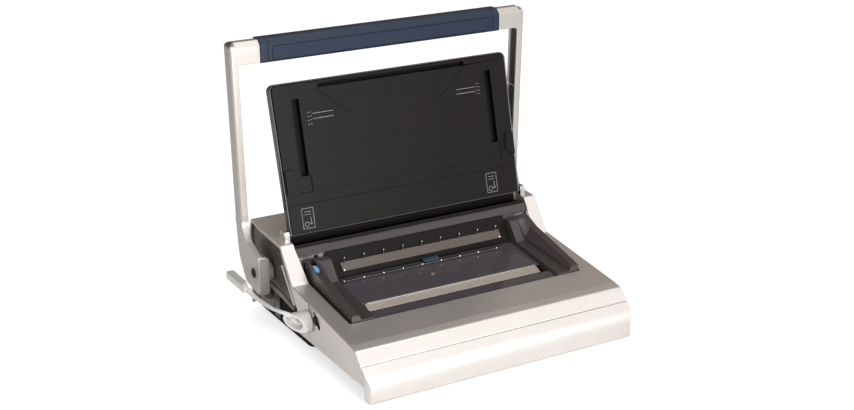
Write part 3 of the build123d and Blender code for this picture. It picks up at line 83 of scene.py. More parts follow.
# The arms' inward channel, where the arms' colour is darkened as painted shade: how far out its rim is at the
# table, how much it leans, and its front wall
CHANNEL_RIM = 227.0 - 140.0 * 6.5 / 240.0
CHANNEL_LEAN = 6.5 / 240.0
CHANNEL_FRONT = 322.0 - MIDDLE_Y + 2.6

# Tone drifts over this many metres on plastic and on metal
PLASTIC_DRIFT = 0.07
METAL_DRIFT = 0.03

# The grain of a metallic plastic's sparkle
SPARKLE = 0.35

# Edges between faces that meet at less than this angle are tessellation, and go before the rounding
FLAT_ANGLE = 0.4

# A node's edges are rounded where its faces meet at more than this angle
EDGE_ANGLE = 32

# How strongly large faces steer the shading of the rounded edges beside them
FACE_WEIGHT = 70


def at(x, y, z):
    """A point of the drawing, in millimetres, as a place in the frame."""
    return Vector(((x - MIDDLE_X) * MM, (y - MIDDLE_Y) * MM, z * MM))


def on_lid(x, up, forward=LID_FRONT):
    """A point of the lid's front: across, up from its hinge, and forward of its middle."""
    y = HINGE_Y + up * math.sin(LEAN) - forward * math.cos(LEAN)
    z = HINGE_Z + up * math.cos(LEAN) + forward * math.sin(LEAN)
    return at(x, y, z)


def on_panel(x, y, lift=0.0):
    """A point over the glossy floor panel."""
    return at(x, y, PANEL_FRONT_Z + PANEL_SLOPE * (y - PANEL_FRONT_Y) + lift)


# Colours and nodes

def linear(hex_colour, alpha=1.0):
    """An sRGB hex colour as the linear values that a shader socket takes."""
    values = [int(hex_colour[i:i + 2], 16) / 255 for i in (0, 2, 4)]
    flat = [v / 12.92 if v <= 0.04045 else ((v + 0.055) / 1.055) ** 2.4 for v in values]
    return (*flat, alpha)


def add(tree, kind, settings=None, **links):
    """Add a node with its settings and its input values or links; _0 is the first input."""
    node = tree.nodes.new(kind)
    for name, value in (settings or {}).items():
        setattr(node, name, value)
    for name, value in links.items():
        key = int(name[1:]) if name[0] == "_" and name[1:].isdigit() else name.replace("_", " ")
        socket = node.inputs[key]
        if isinstance(value, bpy.types.NodeSocket):
            tree.links.new(value, socket)
        else:
            socket.default_value = value
    return node


def maths(tree, operation, *values):
    """The output of one maths node."""
    inputs = {"_" + str(i): value for i, value in enumerate(values)}
    return add(tree, "ShaderNodeMath", {"operation": operation}, **inputs).outputs[0]


def ramp(tree, value, low, high, start=0.0, end=1.0):
    """A value's run from start to end, carried over to low to high and clamped there."""
    return add(tree, "ShaderNodeMapRange", Value=value, _1=start, _2=end, _3=low, _4=high).outputs[0]


def scaled(tree, colour, factor):
    """A colour made darker or lighter by a factor."""
    return add(tree, "ShaderNodeVectorMath", {"operation": "SCALE"}, _0=colour, Scale=factor).outputs[0]


def noise(tree, place, scale, **settings):
    """A noise texture's factor."""
    return add(tree, "ShaderNodeTexNoise", Vector=place, Scale=scale, **settings).outputs["Fac"]


def new_material(name):
    """An empty material with an output and a principled shader."""
    material = bpy.data.materials.new(name)
    material.use_nodes = True
    tree = material.node_tree
    tree.nodes.clear()
    shader = add(tree, "ShaderNodeBsdfPrincipled")
    output = add(tree, "ShaderNodeOutputMaterial")
    tree.links.new(shader.outputs[0], output.inputs[0])
    place = add(tree, "ShaderNodeTexCoord").outputs["Object"]
    return material, tree, shader, place


def tinted(tree, factor, colour, low, high):
    """A colour that drifts between two brightnesses of itself."""
    base = linear(colour)
    mix = add(tree, "ShaderNodeMix", {"data_type": "RGBA"}, _0=factor)
    mix.inputs[6].default_value = (*[min(v * low, 1) for v in base[:3]], 1)
    mix.inputs[7].default_value = (*[min(v * high, 1) for v in base[:3]], 1)
    return mix.outputs[2]


def dress(tree, shader, tone, gloss, height, depth_mm, strength):
    """Link a tone, a roughness and a relief of some depth to a shader."""
    tree.links.new(tone, shader.inputs["Base Color"])
    tree.links.new(gloss, shader.inputs["Roughness"])
    bump = add(tree, "ShaderNodeBump", Height=height, Distance=depth_mm * MM, Strength=strength)
    tree.links.new(bump.outputs[0], shader.inputs["Normal"])


def moulded(
    name, colour, roughness, grain_mm, grain_depth_mm,
    drift=0.05, metallic=0.0, flake=0.0, coat=0.0, specular=0.5,
):
    """Injection moulded plastic: a spark-eroded grain, with slow drifts in tone and gloss."""
    material, tree, shader, place = new_material(name)
    cells = add(tree, "ShaderNodeTexVoronoi", Vector=place, Scale=1 / (grain_mm * MM))
    fine = noise(tree, place, 2 / (grain_mm * MM), Detail=2.0, Roughness=0.6)
    grain = maths(tree, "ADD", cells.outputs["Distance"], fine)
    slow = noise(tree, place, 1 / PLASTIC_DRIFT, Detail=2.0)
    tone = tinted(tree, slow, colour, 1 - drift, 1 + drift)
    if flake:
        sparkle = noise(tree, place, 1 / (SPARKLE * MM), Detail=1.0)
        tone = scaled(tree, tone, ramp(tree, sparkle, 1 - flake, 1 + flake, 0.3, 0.7))
    gloss = ramp(tree, slow, roughness * 0.92, roughness * 1.08)
    dress(tree, shader, tone, gloss, grain, grain_depth_mm, 0.5)
    shader.inputs["Metallic"].default_value = metallic
    shader.inputs["Coat Weight"].default_value = coat
    shader.inputs["Coat Roughness"].default_value = 0.1
    shader.inputs["Specular IOR Level"].default_value = specular
    return material


def rolled(name, colour, roughness, line_mm=0.35, stretch=60, depth_mm=0.02):
    """Rolled or brushed metal: long fine scratches along X."""
    material, tree, shader, place = new_material(name)
    mapping = add(tree, "ShaderNodeMapping", Vector=place, Scale=(1 / stretch, 1, 1))
    lines = noise(tree, mapping.outputs[0], 1 / (line_mm * MM), Detail=4.0)
    slow = noise(tree, place, 1 / METAL_DRIFT, Detail=3.0)
    tone = tinted(tree, maths(tree, "MULTIPLY_ADD", slow, 0.5, lines), colour, 0.72, 1.12)
    dress(tree, shader, tone, ramp(tree, lines, roughness * 0.8, roughness * 1.25), lines, depth_mm, 0.4)
    shader.inputs["Metallic"].default_value = 1.0
    return material


def painted_casting(colour):
    """Die-cast aluminium with silver paint, darker deep inside the channel that opens inwards: painted shade.
    """
    material = moulded("aluminium_silver_paint", colour, 0.3, 0.8, 0.003, 0.015, metallic=0.6, flake=0.02)
    tree = material.node_tree
    shader = next(node for node in tree.nodes if node.type == "BSDF_PRINCIPLED")
    place = next(node for node in tree.nodes if node.type == "TEX_COORD").outputs["Object"]
    x, y, z = add(tree, "ShaderNodeSeparateXYZ", Vector=place).outputs
    out = maths(tree, "ABSOLUTE", maths(tree, "ADD", x, MIDDLE_X * MM))
    reach = maths(tree, "SUBTRACT", out, maths(tree, "MULTIPLY", z, CHANNEL_LEAN))
    past_rim = ramp(tree, reach, 0.0, 1.0, CHANNEL_RIM * MM, (CHANNEL_RIM + 2.5) * MM)
    before_wall = ramp(tree, reach, 1.0, 0.0, (CHANNEL_RIM + 8.2) * MM, (CHANNEL_RIM + 9.2) * MM)
    above_foot = ramp(tree, z, 0.0, 1.0, 150 * MM, 156 * MM)
    behind_front = ramp(tree, y, 0.0, 1.0, CHANNEL_FRONT * MM, (CHANNEL_FRONT + 0.6) * MM)
    # Painted shade: the silver darkens to 0.3 of its colour deep inside the channel
    channel_shade = maths(tree, "MULTIPLY", past_rim, before_wall)
    channel_shade = maths(tree, "MULTIPLY", channel_shade, above_foot)
    channel_shade = maths(tree, "MULTIPLY", channel_shade, behind_front)
    colour_in = shader.inputs["Base Color"].links[0].from_socket
    tree.links.new(scaled(tree, colour_in, ramp(tree, channel_shade, 1.0, 0.3)), shader.inputs["Base Color"])
    return material


def build_materials():
    """Every finish on the machine, by the record's slot names."""
    return {
        # ABS in a metallic silver mass tone: a soft sheen with a very fine sparkle
        "silver_shell": moulded(
            "abs_metallic_silver", "E0DBD7", 0.34, 0.6, 0.008, 0.02, metallic=0.85, flake=0.03
        ),
        # ABS, dark grey, spark-eroded: dull, with a visible fine grain
        "dark_grey": moulded("abs_dark_grey_eroded", "4A4545", 0.3, 0.7, 0.02),
        # ABS, black, spark-eroded: nearly matt
        "black_plastic": moulded("abs_black_eroded", "130F0F", 0.42, 0.7, 0.03, specular=0.13),
        # ABS, black, from a polished mould: mirror-like
        "gloss_black": moulded("abs_black_polished", "2B262D", 0.07, 6.0, 0.004, coat=0.4),
        # ABS, mid grey
        "grey_post": moulded("abs_mid_grey", "7A7673", 0.5, 0.7, 0.04),
        # Nitrile rubber feet
        "rubber": moulded("rubber_black", "141414", 0.85, 1.0, 0.08),
        # Cold rolled sheet steel
        "steel_plate": rolled("steel_cold_rolled", "8A8888", 0.38),
        # Oil-filled sintered bronze
        "bronze": rolled("bronze_sintered", "9C7A4E", 0.45, stretch=2),
        # Stainless strip, brushed lengthwise
        "brushed_strip": rolled("stainless_brushed", "675F5B", 0.3, line_mm=0.5, depth_mm=0.07),
        # Zinc plated and polished small parts
        "bright_silver": rolled("steel_bright_plated", "D2CFCB", 0.2, stretch=3),
        # Die-cast aluminium with silver paint, with painted shade deep in its inward channel
        "arm_silver": painted_casting("BEB9B4"),
        # ABS, slate blue, satin
        "grip_blue": moulded("abs_slate_blue", "1A2638", 0.36, 0.7, 0.03, specular=0.3),
        # The same blue with a finer, duller texture
        "grip_pad": moulded("abs_slate_blue_fine", "1B263A", 0.48, 0.6, 0.05, specular=0.25),
        # ABS, off-white, semi-gloss
        "white_plastic": moulded("abs_off_white", "DCDBD9", 0.3, 1.5, 0.008, 0.02),
        # Soft grey moulded over the lever
        "grey_pad": moulded("tpe_grey", "B4B1AE", 0.6, 0.8, 0.05),
        # Steel bar with a ground face
        "chrome_bar": rolled("steel_ground_bar", "BFB6AD", 0.36, depth_mm=0.03),
        # Thin screen-printed inks
        "print_dull_red": moulded("ink_dull_red", "6E4446", 0.4, 2.0, 0.002),
        "print_dull_green": moulded("ink_dull_green", "42574A", 0.4, 2.0, 0.002),
        "print_white": moulded("ink_white", "908E8C", 0.45, 2.0, 0.002),
        # The same black as the black plastic, darker and duller: painted shade for what lies in deep shadow
        "black_low": moulded("abs_black_dull", "0C0B0B", 0.6, 0.7, 0.04, specular=0.12),
        # ABS, dark blue, satin
        "catch_blue": moulded("abs_dark_blue", "26374C", 0.36, 1.0, 0.02),
        # ABS, black, satin, a shade lighter than the matt black
        "black_satin": moulded("abs_black_satin", "3B3535", 0.32, 0.7, 0.03),
        # ABS, smoke black, from a polished mould; its colour is lighter than the plastic's, a painted
        # reflection
        "gloss_floor": moulded("abs_smoke_polished", "4A464A", 0.09, 6.0, 0.004, coat=0.3),
        # The knob's white, softly textured and darker, for its wall outside and in its cup: painted shade
        "knob_wall_painted_shade": moulded("abs_off_white_eroded", "B4B1AE", 0.5, 0.8, 0.03),
        # ABS, light blue, glossy
        "accent_blue": moulded("abs_light_blue", "5F8DB8", 0.3, 1.2, 0.01),
    }


materials = build_materials()
slot_of = {part["node"]: part["material_slot"] for part in frame["record"]["subparts"]}
bodies = frame["record"]["behaviour"]["bodies"]
body_of_node = {node: body for body, nodes in bodies.items() for node in nodes}
for name, node in frame["nodes"].items():
    node.data.materials.clear()
    node.data.materials.append(materials[slot_of[name]])


# Meshes

def place_mesh(name, mesh, material=None):
    """A new object at the origin that shows a mesh."""
    piece = bpy.data.objects.new(name, mesh)
    bpy.context.scene.collection.objects.link(piece)
    if material:
        mesh.materials.append(material)
    return piece


def made_real(piece):
    """Apply a piece's modifiers: its evaluated shape becomes a plain mesh."""
    bpy.context.view_layer.update()
    graph = bpy.context.evaluated_depsgraph_get()
    shown = piece.evaluated_get(graph)
    mesh = bpy.data.meshes.new_from_object(shown, preserve_all_data_layers=True, depsgraph=graph)
    piece.modifiers.clear()
    if piece.type == "MESH":
        piece.data = mesh
        return piece
    name = piece.name
    bpy.data.objects.remove(piece)
    return place_mesh(name, mesh)


def mesh_from(name, shape):
    """A finished bmesh as a plain mesh."""
    mesh = bpy.data.meshes.new(name)
    shape.to_mesh(mesh)
    shape.free()
    return mesh


def skin(shape, rings):
    """Faces from each ring of vertices to the next, in one list per step, and a face over each end."""
    count = len(rings[0])
    bands = []
    for low, high in zip(rings, rings[1:]):
        turns = [(i, (i + 1) % count) for i in range(count)]
        bands.append([shape.faces.new((low[i], low[j], high[j], high[i])) for i, j in turns])
    shape.faces.new(list(reversed(rings[0])))
    shape.faces.new(rings[-1])
    return bands


def skinned(name, rings):
    """A closed mesh through rings of points."""
    shape = bmesh.new()
    skin(shape, [[shape.verts.new(point) for point in ring] for ring in rings])
    bmesh.ops.recalc_face_normals(shape, faces=shape.faces)
    return mesh_from(name, shape)


def ease_edges(piece, width, segments=2, corner=30):
    """Round a piece's edges where its faces meet at more than an angle, and give the modifier."""
    bevel = piece.modifiers.new("eased_edges", "BEVEL")
    bevel.width = width * MM
    bevel.segments = segments
    bevel.limit_method = "ANGLE"
    bevel.angle_limit = math.radians(corner)
    return bevel


def shade_evenly(piece):
    """Let a piece's large faces steer the shading of the rounded edges beside them."""
    piece.modifiers.new("even_shading", "WEIGHTED_NORMAL").weight = FACE_WEIGHT


def smooth_by_angle(mesh, degrees):
    """Smooth shading, but sharp where two faces meet at more than an angle."""
    mesh.shade_smooth()
    mesh.set_sharp_from_angle(angle=math.radians(degrees))


# Steel plates that are blackened where they show
BLACKENED = {"throat_back"}

# Nodes that show another finish of their slot
FINISH = {
    # The pan and the hub screws take black_low, a painted shade
    "base_pan": "black_low",
    "hub_collars": "grey_post",
    "panel_catch": "catch_blue",
    "hub_screws": "black_low",
    "left_rail": "black_satin",
    "right_rail": "black_satin",
    # The floor panel and front band take the lightened smoke black, partly a painted reflection
    "floor_panel": "gloss_floor",
    "front_band": "gloss_floor",
    "throat_lip": "black_satin",
}


def eased(node, width):
    """A node's own shape with its sharp edges rounded, as a mould or a file leaves them."""
    shape = bmesh.new()
    shape.from_mesh(frame["nodes"][node].data)
    bmesh.ops.remove_doubles(shape, verts=shape.verts, dist=1e-6)
    flat = math.radians(FLAT_ANGLE)
    bmesh.ops.dissolve_limit(shape, angle_limit=flat, verts=shape.verts, edges=shape.edges)
    mesh = mesh_from(node + "_eased", shape)
    mesh.materials.clear()
    slot = "black_plastic" if node in BLACKENED else slot_of[node]
    piece = place_mesh(node + "_eased", mesh, materials[FINISH.get(node, slot)])
    mesh.shade_smooth()
    ease_edges(piece, width, corner=EDGE_ANGLE).use_clamp_overlap = False
    shade_evenly(piece)
    corners = [vertex.co.copy() for vertex in mesh.vertices]
    surface = BVHTree.FromPolygons(corners, [tuple(face.vertices) for face in mesh.polygons])
    piece = made_real(piece)
    for vertex in piece.data.vertices:
        nearest, _, _, gap = surface.find_nearest(vertex.co)
        if gap > 1.5 * width * MM:
            # The rounding ran past a very flat corner
            vertex.co = nearest
    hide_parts(node)
    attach(piece, body_of_node[node])


def darken_lid():
    """The lid's paper slots and the shell behind them are unlit inside: a duller black."""
    front = Vector((0, -math.cos(LEAN), math.sin(LEAN)))
    rise = Vector((0, math.sin(LEAN), math.cos(LEAN)))
    hinge = at(0, HINGE_Y, HINGE_Z)

    def in_slot(up, forward, across):
        return SLOTS_LOW < up < SLOTS_HIGH and forward < LID_FRONT - 0.6 and abs(across) < SLOTS_REACH * MM

    for name in ("lid_panel_eased", "lid_shell_eased"):
        piece = bpy.data.objects[name]
        piece.data.materials.append(materials["black_low"])
        for face in piece.data.polygons:
            away = face.center - hinge
            up, forward = away.dot(rise) / MM, away.dot(front) / MM
            if name == "lid_shell_eased" and face.normal.dot(front) > 0.9 and forward < 5:
                face.material_index = 1
            elif name == "lid_panel_eased" and in_slot(up, forward, away.x):
                face.material_index = 1


# How far each visible piece's edges are rounded, in millimetres
EASED = {
    "main_cover": 0.5,
    "left_side_panel": 0.5,
    "right_side_panel": 0.5,
    "base_pan": 0.5,
    "drawer_front": 0.6,
    "left_rail": 0.5,
    "right_rail": 0.5,
    "left_cheek": 0.3,
    "right_cheek": 0.3,
    "front_band": 0.4,
    "floor_panel": 0.4,
    "rear_wall": 0.4,
    "wire_strip": 0.15,
    "closer_bar": 0.2,
    "throat_lip": 0.2,
    "throat_back": 0.3,
    "lid_shell": 1.0,
    "lid_panel": 0.4,
    "hinge_ears": 0.4,
    "left_arm": 0.6,
    "right_arm": 0.6,
    "hub_collars": 0.2,
    "hub_screws": 0.25,
    "grip": 0.6,
    "grip_pad": 0.25,
    "grip_collars": 0.5,
    "lever_pad": 0.15,
    "size_button": 0.5,
    "panel_catch": 0.2,
    "guide_wheel": 0.3,
    "rubber_feet": 0.6,
    "side_posts": 0.4,
    "chip_tray": 0.4,
}


def own(piece, body, slot, finish=None):
    """Give a new piece its body and its slot's finish, or another finish of its own."""
    piece.data.materials.clear()
    piece.data.materials.append(materials[finish or slot])
    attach(piece, body)
    return piece


# Repeated pieces

def repeat_tree():
    """Geometry Nodes: one piece set on every point, turned and sized, made real and given its finish."""
    tree = bpy.data.node_groups.new("piece_on_points", "GeometryNodeTree")
    face = tree.interface
    face.new_socket("Geometry", in_out="OUTPUT", socket_type="NodeSocketGeometry")
    face.new_socket("Geometry", in_out="INPUT", socket_type="NodeSocketGeometry")
    sockets = {}
    kinds = {
        "Piece": "NodeSocketObject",
        "Turn": "NodeSocketRotation",
        "Size": "NodeSocketFloat",
        "Finish": "NodeSocketMaterial",
    }
    for label, kind in kinds.items():
        sockets[label] = face.new_socket(label, in_out="INPUT", socket_type=kind).identifier
    start = add(tree, "NodeGroupInput")
    end = add(tree, "NodeGroupOutput")
    piece = add(tree, "GeometryNodeObjectInfo", Object=start.outputs["Piece"])
    spread = add(
        tree, "GeometryNodeInstanceOnPoints",
        Points=start.outputs["Geometry"], Instance=piece.outputs["Geometry"],
        Rotation=start.outputs["Turn"], Scale=start.outputs["Size"],
    )
    real = add(tree, "GeometryNodeRealizeInstances", Geometry=spread.outputs[0])
    done = add(tree, "GeometryNodeSetMaterial", Geometry=real.outputs[0], Material=start.outputs["Finish"])
    tree.links.new(done.outputs[0], end.inputs[0])
    return tree, sockets


REPEAT, REPEAT_INPUTS = repeat_tree()


def repeated(name, template, points, body, slot, turn=(0, 0, 0)):
    """Copies of a template on a list of points, as one piece that rides on a body. The template goes."""
    mesh = bpy.data.meshes.new(name)
    mesh.from_pydata([tuple(point) for point in points], [], [])
    piece = place_mesh(name, mesh)
    spread = piece.modifiers.new("piece_on_points", "NODES")
    spread.node_group = REPEAT
    spread[REPEAT_INPUTS["Piece"]] = template
    spread[REPEAT_INPUTS["Turn"]] = turn
    spread[REPEAT_INPUTS["Size"]] = 1.0
    spread[REPEAT_INPUTS["Finish"]] = materials[slot]
    piece = made_real(piece)
    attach(piece, body)
    bpy.data.objects.remove(template)
    return piece


def lathe(name, profile, steps=24):
    """A small turned template about Z from (radius, height) pairs in millimetres, closed at both ends."""
    turns = [2 * math.pi * i / steps for i in range(steps)]
    shape = bmesh.new()
    rings = []
    for radius, height in profile:
        points = [(radius * MM * math.cos(turn), radius * MM * math.sin(turn), height * MM) for turn in turns]
        rings.append([shape.verts.new(point) for point in points])
    skin(shape, rings)
    mesh = mesh_from(name, shape)
    smooth_by_angle(mesh, 40)
    return place_mesh(name, mesh)


def swept(name, points, radius, body, slot):
    """A thin wire or bead along a line of points, made as a curve with a round section."""
    line = bpy.data.curves.new(name, "CURVE")
    line.dimensions = "3D"
    spline = line.splines.new("POLY")
    spline.points.add(len(points) - 1)
    for target, point in zip(spline.points, points):
        target.co = (*point, 1)
    line.bevel_depth = radius * MM
    line.bevel_resolution = 4
    line.use_fill_caps = True
    piece = bpy.data.objects.new(name, line)
    bpy.context.scene.collection.objects.link(piece)
    piece = made_real(piece)
    smooth_by_angle(piece.data, 50)
    return own(piece, body, slot)


def build_spine_rest():
    """The low ridge at the back of the floor panel, with a bright wire and nine pin heads along it."""
    left, right = -142.0, 126.0
    front, rear, height, ease = 188.0, 192.6, 4.0, 0.6
    foot = 0.05
    section = [(front, foot), (front, height - ease), (front + ease, height)]
    section += [(rear - ease, height), (rear, height - ease), (rear, foot)]
    ridge = skinned("spine_rest", [[on_panel(x, y, lift) for y, lift in section] for x in (left, right)])
    own(place_mesh("spine_rest", ridge), "base", "gloss_black")
    wire = [on_panel(x, front, height - 0.1) for x in (left, right)]
    swept("spine_rest_wire", wire, 0.22, "base", "steel_plate")
    head = lathe("pin_head", [(0.5, -0.8), (1.15, -0.4), (1.35, 0.1), (1.0, 0.8), (0.35, 1.1)], 16)
    points = [on_panel(-141.6 + HOOK_PITCH * i, front + 0.2, height + 0.1) for i in range(HOOK_COUNT)]
    repeated("spine_rest_pins", head, points, "base", "bright_silver", turn=(math.radians(60), 0, 0))


def build_hook_tips():
    """A small bent tip on each hook of the wire strip, and a rivet at each end of the strip."""
    low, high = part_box("wire_strip")
    tip = lathe("hook_tip", [(0.9, -0.4), (1.15, 0.0), (1.15, 0.5), (0.8, 1.0), (0.3, 1.15)], 16)
    middle = (low[0] + high[0]) / 2
    steps = [(i - HOOK_COUNT // 2) * HOOK_PITCH * MM for i in range(HOOK_COUNT)]
    points = [Vector((middle + step, low[1] + 8.2 * MM, high[2] - 0.2 * MM)) for step in steps]
    repeated("hook_tips", tip, points, "base", "bright_silver")
    rivet = lathe("strip_rivet", [(1.3, -0.5), (1.6, 0.0), (1.3, 0.6), (0.5, 0.95)], 20)
    across = (low[0] + 2.5 * MM, high[0] - 2.5 * MM)
    ends = [Vector((x, low[1] + 1.4 * MM, low[2] + 2.4 * MM)) for x in across]
    repeated("strip_rivets", rivet, ends, "base", "bright_silver", turn=(math.radians(45), 0, 0))


def stroke_mesh(name, strokes, place, half_wide, lift, body, slot, finish=None):
    """Printed lines: thin raised strips on a surface, each from one (across, up) point to another."""
    shape = bmesh.new()
    for (x0, u0), (x1, u1) in strokes:
        length = math.hypot(x1 - x0, u1 - u0)
        nx, nu = -(u1 - u0) / length * half_wide, (x1 - x0) / length * half_wide
        flat = [(x0 + nx, u0 + nu), (x0 - nx, u0 - nu), (x1 - nx, u1 - nu), (x1 + nx, u1 + nu)]
        skin(shape, [[shape.verts.new(place(x, u, h)) for x, u in flat] for h in (0.005, lift)])
    bmesh.ops.recalc_face_normals(shape, faces=shape.faces)
    return own(place_mesh(name, mesh_from(name, shape)), body, slot, finish)


def ring_strokes(x, up, radius, steps=14):
    """A small printed ring as short strokes."""
    turns = [2 * math.pi * i / steps for i in range(steps)]
    points = [(x + radius * math.cos(turn), up + radius * math.sin(turn)) for turn in turns]
    return list(zip(points, points[1:] + points[:1]))


def build_lid_marks():
    """The printed marks on the lid: two sheet-size scales and two small sheet-and-arrow signs."""
    def lid_face(x, up, lift):
        return on_lid(x, up, LID_FRONT + lift)

    def foot_face(x, up, lift):
        return on_lid(x, up, LID_FRONT - 1.4 + lift)

    scales = []
    left = (-1, (168, 162.5, 157, 151.5), (166.5, 159))
    right = (1, (172, 167, 162, 157), (167.7, 161))
    for side, rows, lines in (left, right):
        for up in rows:
            scales.append(((side * 144, up), (side * 141.8, up)))
            scales.append(((side * 140, up + 0.8), (side * 137.6, up + 0.8)))
        scales += [((side * 135.5, up), (side * 103, up)) for up in lines]
    stroke_mesh("lid_scales", scales, lid_face, 0.3, 0.06, "lid", "white_plastic", "print_white")
    signs = []
    for middle in (-163.5, 146.5):
        corners = [(middle - 9, 5), (middle + 9, 5), (middle + 9, 34), (middle - 9, 34)]
        signs += list(zip(corners, corners[1:] + corners[:1]))
        signs += ring_strokes(middle - 3, 11, 3.2)
        signs += [((middle - 5, up), (middle + 5, up)) for up in (29, 25)]
        point = (middle + 4, 10)
        signs += [((middle + 4, 21), point), (point, (middle + 1.5, 13)), (point, (middle + 6.5, 13))]
    stroke_mesh("lid_signs", signs, foot_face, 0.28, 0.06, "lid", "white_plastic", "print_white")


def prism_x(name, section, x0, x1, body, slot, ease=0.2):
    """A straight moulding along X from its side section, with rounded edges."""
    mesh = skinned(name, [[at(x, y, z) for y, z in section] for x in (x0, x1)])
    mesh.shade_smooth()
    piece = place_mesh(name, mesh)
    ease_edges(piece, ease).harden_normals = True
    return own(made_real(piece), body, slot)


def build_lid_seal():
    """The black moulding over the opening's rear rim, under the lid's hinge line."""
    section = [(262.6, 127.5), (262.6, 140.6), (263.4, 141.3)]
    section += [(277.0, 142.0), (277.0, 140.9), (263.7, 140.3), (263.7, 127.5)]
    prism_x("lid_seal", section, -193.0, 193.0, "base", "black_plastic")


def build_bar_edge():
    """The polished rounding along the closer bar's rear top edge, in a lighter, glossier finish than the bar:
    a painted highlight.
    """
    # Painted highlight: a bright bead where the bar's edge catches the light
    ends = [at(x, 124.9, 77.1) for x in (-139.5, 139.5)]
    swept("closer_bar_edge", ends, 0.8, "presser", "bright_silver")


def build_floor_marks():
    """Small coloured guide lines printed on the glossy floor panel."""
    pale = [((-14, 160), (-10, 166)), ((-11, 160), (-7, 166))]
    stroke_mesh("floor_marks_pale", pale, on_panel, 0.5, 0.05, "base", "grey_pad")
    red = [((-4, 164), (8, 164)), ((-2, 168), (8, 168)), ((2, 160), (6, 160))]
    stroke_mesh("floor_marks_red", red, on_panel, 0.7, 0.05, "base", "bronze", "print_dull_red")
    green = [((14, 160), (34, 160)), ((13, 164), (35, 164)), ((12, 168), (30, 168))]
    stroke_mesh("floor_marks_green", green, on_panel, 0.6, 0.05, "base", "accent_blue", "print_dull_green")


def build_knob():
    """The lever's knob: a deep cup, open to the front left, with a ringed cap at its bottom."""
    radius, steps, ease = 15.9, 48, 1.5
    wall_x, cut_x = -216.3, -236.2
    lean_y, lean_z = 0.645, 0.43
    rim = at(cut_x, CLOSER_Y, CLOSER_Z)
    out = Vector((-1, -lean_y, -lean_z)).normalized()
    tip = (Vector((-1, 0, 0)) - out * Vector((-1, 0, 0)).dot(out)).normalized()
    turns = [2 * math.pi * i / steps for i in range(steps)]

    def around(x, size):
        """A ring about the closer's axis."""
        return [at(x, CLOSER_Y + size * math.cos(turn), CLOSER_Z + size * math.sin(turn)) for turn in turns]

    def slanted():
        """The ring where the slanting cut ends the outer wall."""
        offsets = [(radius * math.cos(turn), radius * math.sin(turn)) for turn in turns]
        return [at(cut_x - lean_y * dy - lean_z * dz, CLOSER_Y + dy, CLOSER_Z + dz) for dy, dz in offsets]

    def in_cup(size, depth):
        """A ring some way below the slanting cut, in the same order around as the outer rings."""
        ring = []
        for turn in turns:
            away = Vector((0, math.cos(turn), math.sin(turn)))
            flat = (away - out * away.dot(out)).normalized()
            flat = flat + tip * (0.1 * flat.dot(tip) + 0.2)
            ring.append(rim - out * depth * MM + flat * size * MM)
        return ring

    rings = [around(wall_x, radius - ease), around(wall_x - ease, radius), slanted()]
    cup = ((11.7, 0), (11.1, 4.0), (9.9, 7.0), (8.3, 8.2), (2.6, 8.5))
    rings += [in_cup(size, depth) for size, depth in cup]
    shape = bmesh.new()
    bands = skin(shape, [[shape.verts.new(point) for point in ring] for ring in rings])
    # The wall, outside and in the cup, has the second finish, a darker white that paints the shade there
    for k in (0, 1, 3, 4):
        for face in bands[k]:
            face.material_index = 1
    bmesh.ops.recalc_face_normals(shape, faces=shape.faces)
    mesh = mesh_from("cupped_knob", shape)
    mesh.shade_smooth()
    mesh.materials.append(materials["white_plastic"])
    piece = place_mesh("cupped_knob", mesh, materials["knob_wall_painted_shade"])
    ease_edges(piece, 0.5, 3, 35)
    shade_evenly(piece)
    piece = made_real(piece)
    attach(piece, "closer")
    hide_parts("closer_knob")
    profile = [(2.9, -1.2), (3.3, -0.6), (3.3, 0.5), (3.0, 0.8), (2.3, 0.8)]
    profile += [(2.1, 0.1), (1.5, 0.1), (1.3, 0.7), (0.3, 0.8)]
    cap = lathe("knob_cap_shape", profile, 32)
    turn = out.to_track_quat("Z", "Y").to_euler()
    repeated("knob_cap", cap, [rim - out * 8.3 * MM], "closer", "grey_pad", turn=tuple(turn))


def build_closer_shaft():
    """The closer's shaft, ending inside the knob's wall, behind the cup."""
    low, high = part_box("closer_shaft")
    start = at(-222.0, 0, 0).x
    length = (high[0] - start) / MM
    shaft = lathe("plain_shaft", [(3.6, 0.0), (4.0, 0.4), (4.0, length - 0.4), (3.6, length)], 32)
    point = Vector((start, (low[1] + high[1]) / 2, (low[2] + high[2]) / 2))
    quarter = (0, math.radians(90), 0)
    repeated("closer_shaft_turned", shaft, [point], "closer", "steel_plate", turn=quarter)
    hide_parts("closer_shaft")


def bar_along(name, points, sizes, body, slot):
    """A flat bar with softened edges along drawing points, with its own width and height at each."""
    points = [at(*point) for point in points]
    rings = []
    for i, point in enumerate(points):
        ahead = points[min(i + 1, len(points) - 1)] - points[max(i - 1, 0)]
        side = ahead.cross(Vector((0, 0, 1))).normalized()
        up = side.cross(ahead).normalized()
        wide, high = sizes[i][0] * MM / 2, sizes[i][1] * MM / 2
        corners = [(wide, high), (-wide, high), (-wide, -high), (wide, -high)]
        rings.append([point + side * a + up * b for a, b in corners])
    mesh = skinned(name, rings)
    mesh.shade_smooth()
    piece = place_mesh(name, mesh)
    ease_edges(piece, 0.9, 3, 50)
    shade_evenly(piece)
    return own(made_real(piece), body, slot)


def smooth_path(points, steps=6):
    """A line through all the given points, rounded between them (Catmull-Rom)."""
    padded = [points[0], *points, points[-1]]
    line = []
    for a, b, c, d in zip(padded, padded[1:], padded[2:], padded[3:]):
        for k in range(steps):
            t = k / steps
            line.append(tuple(
                0.5 * (
                    2 * q + (r - p) * t
                    + (2 * p - 5 * q + 4 * r - s) * t * t
                    + (3 * q - p - 3 * r + s) * t ** 3
                )
                for p, q, r, s in zip(a, b, c, d)
            ))
    return line + [tuple(points[-1])]


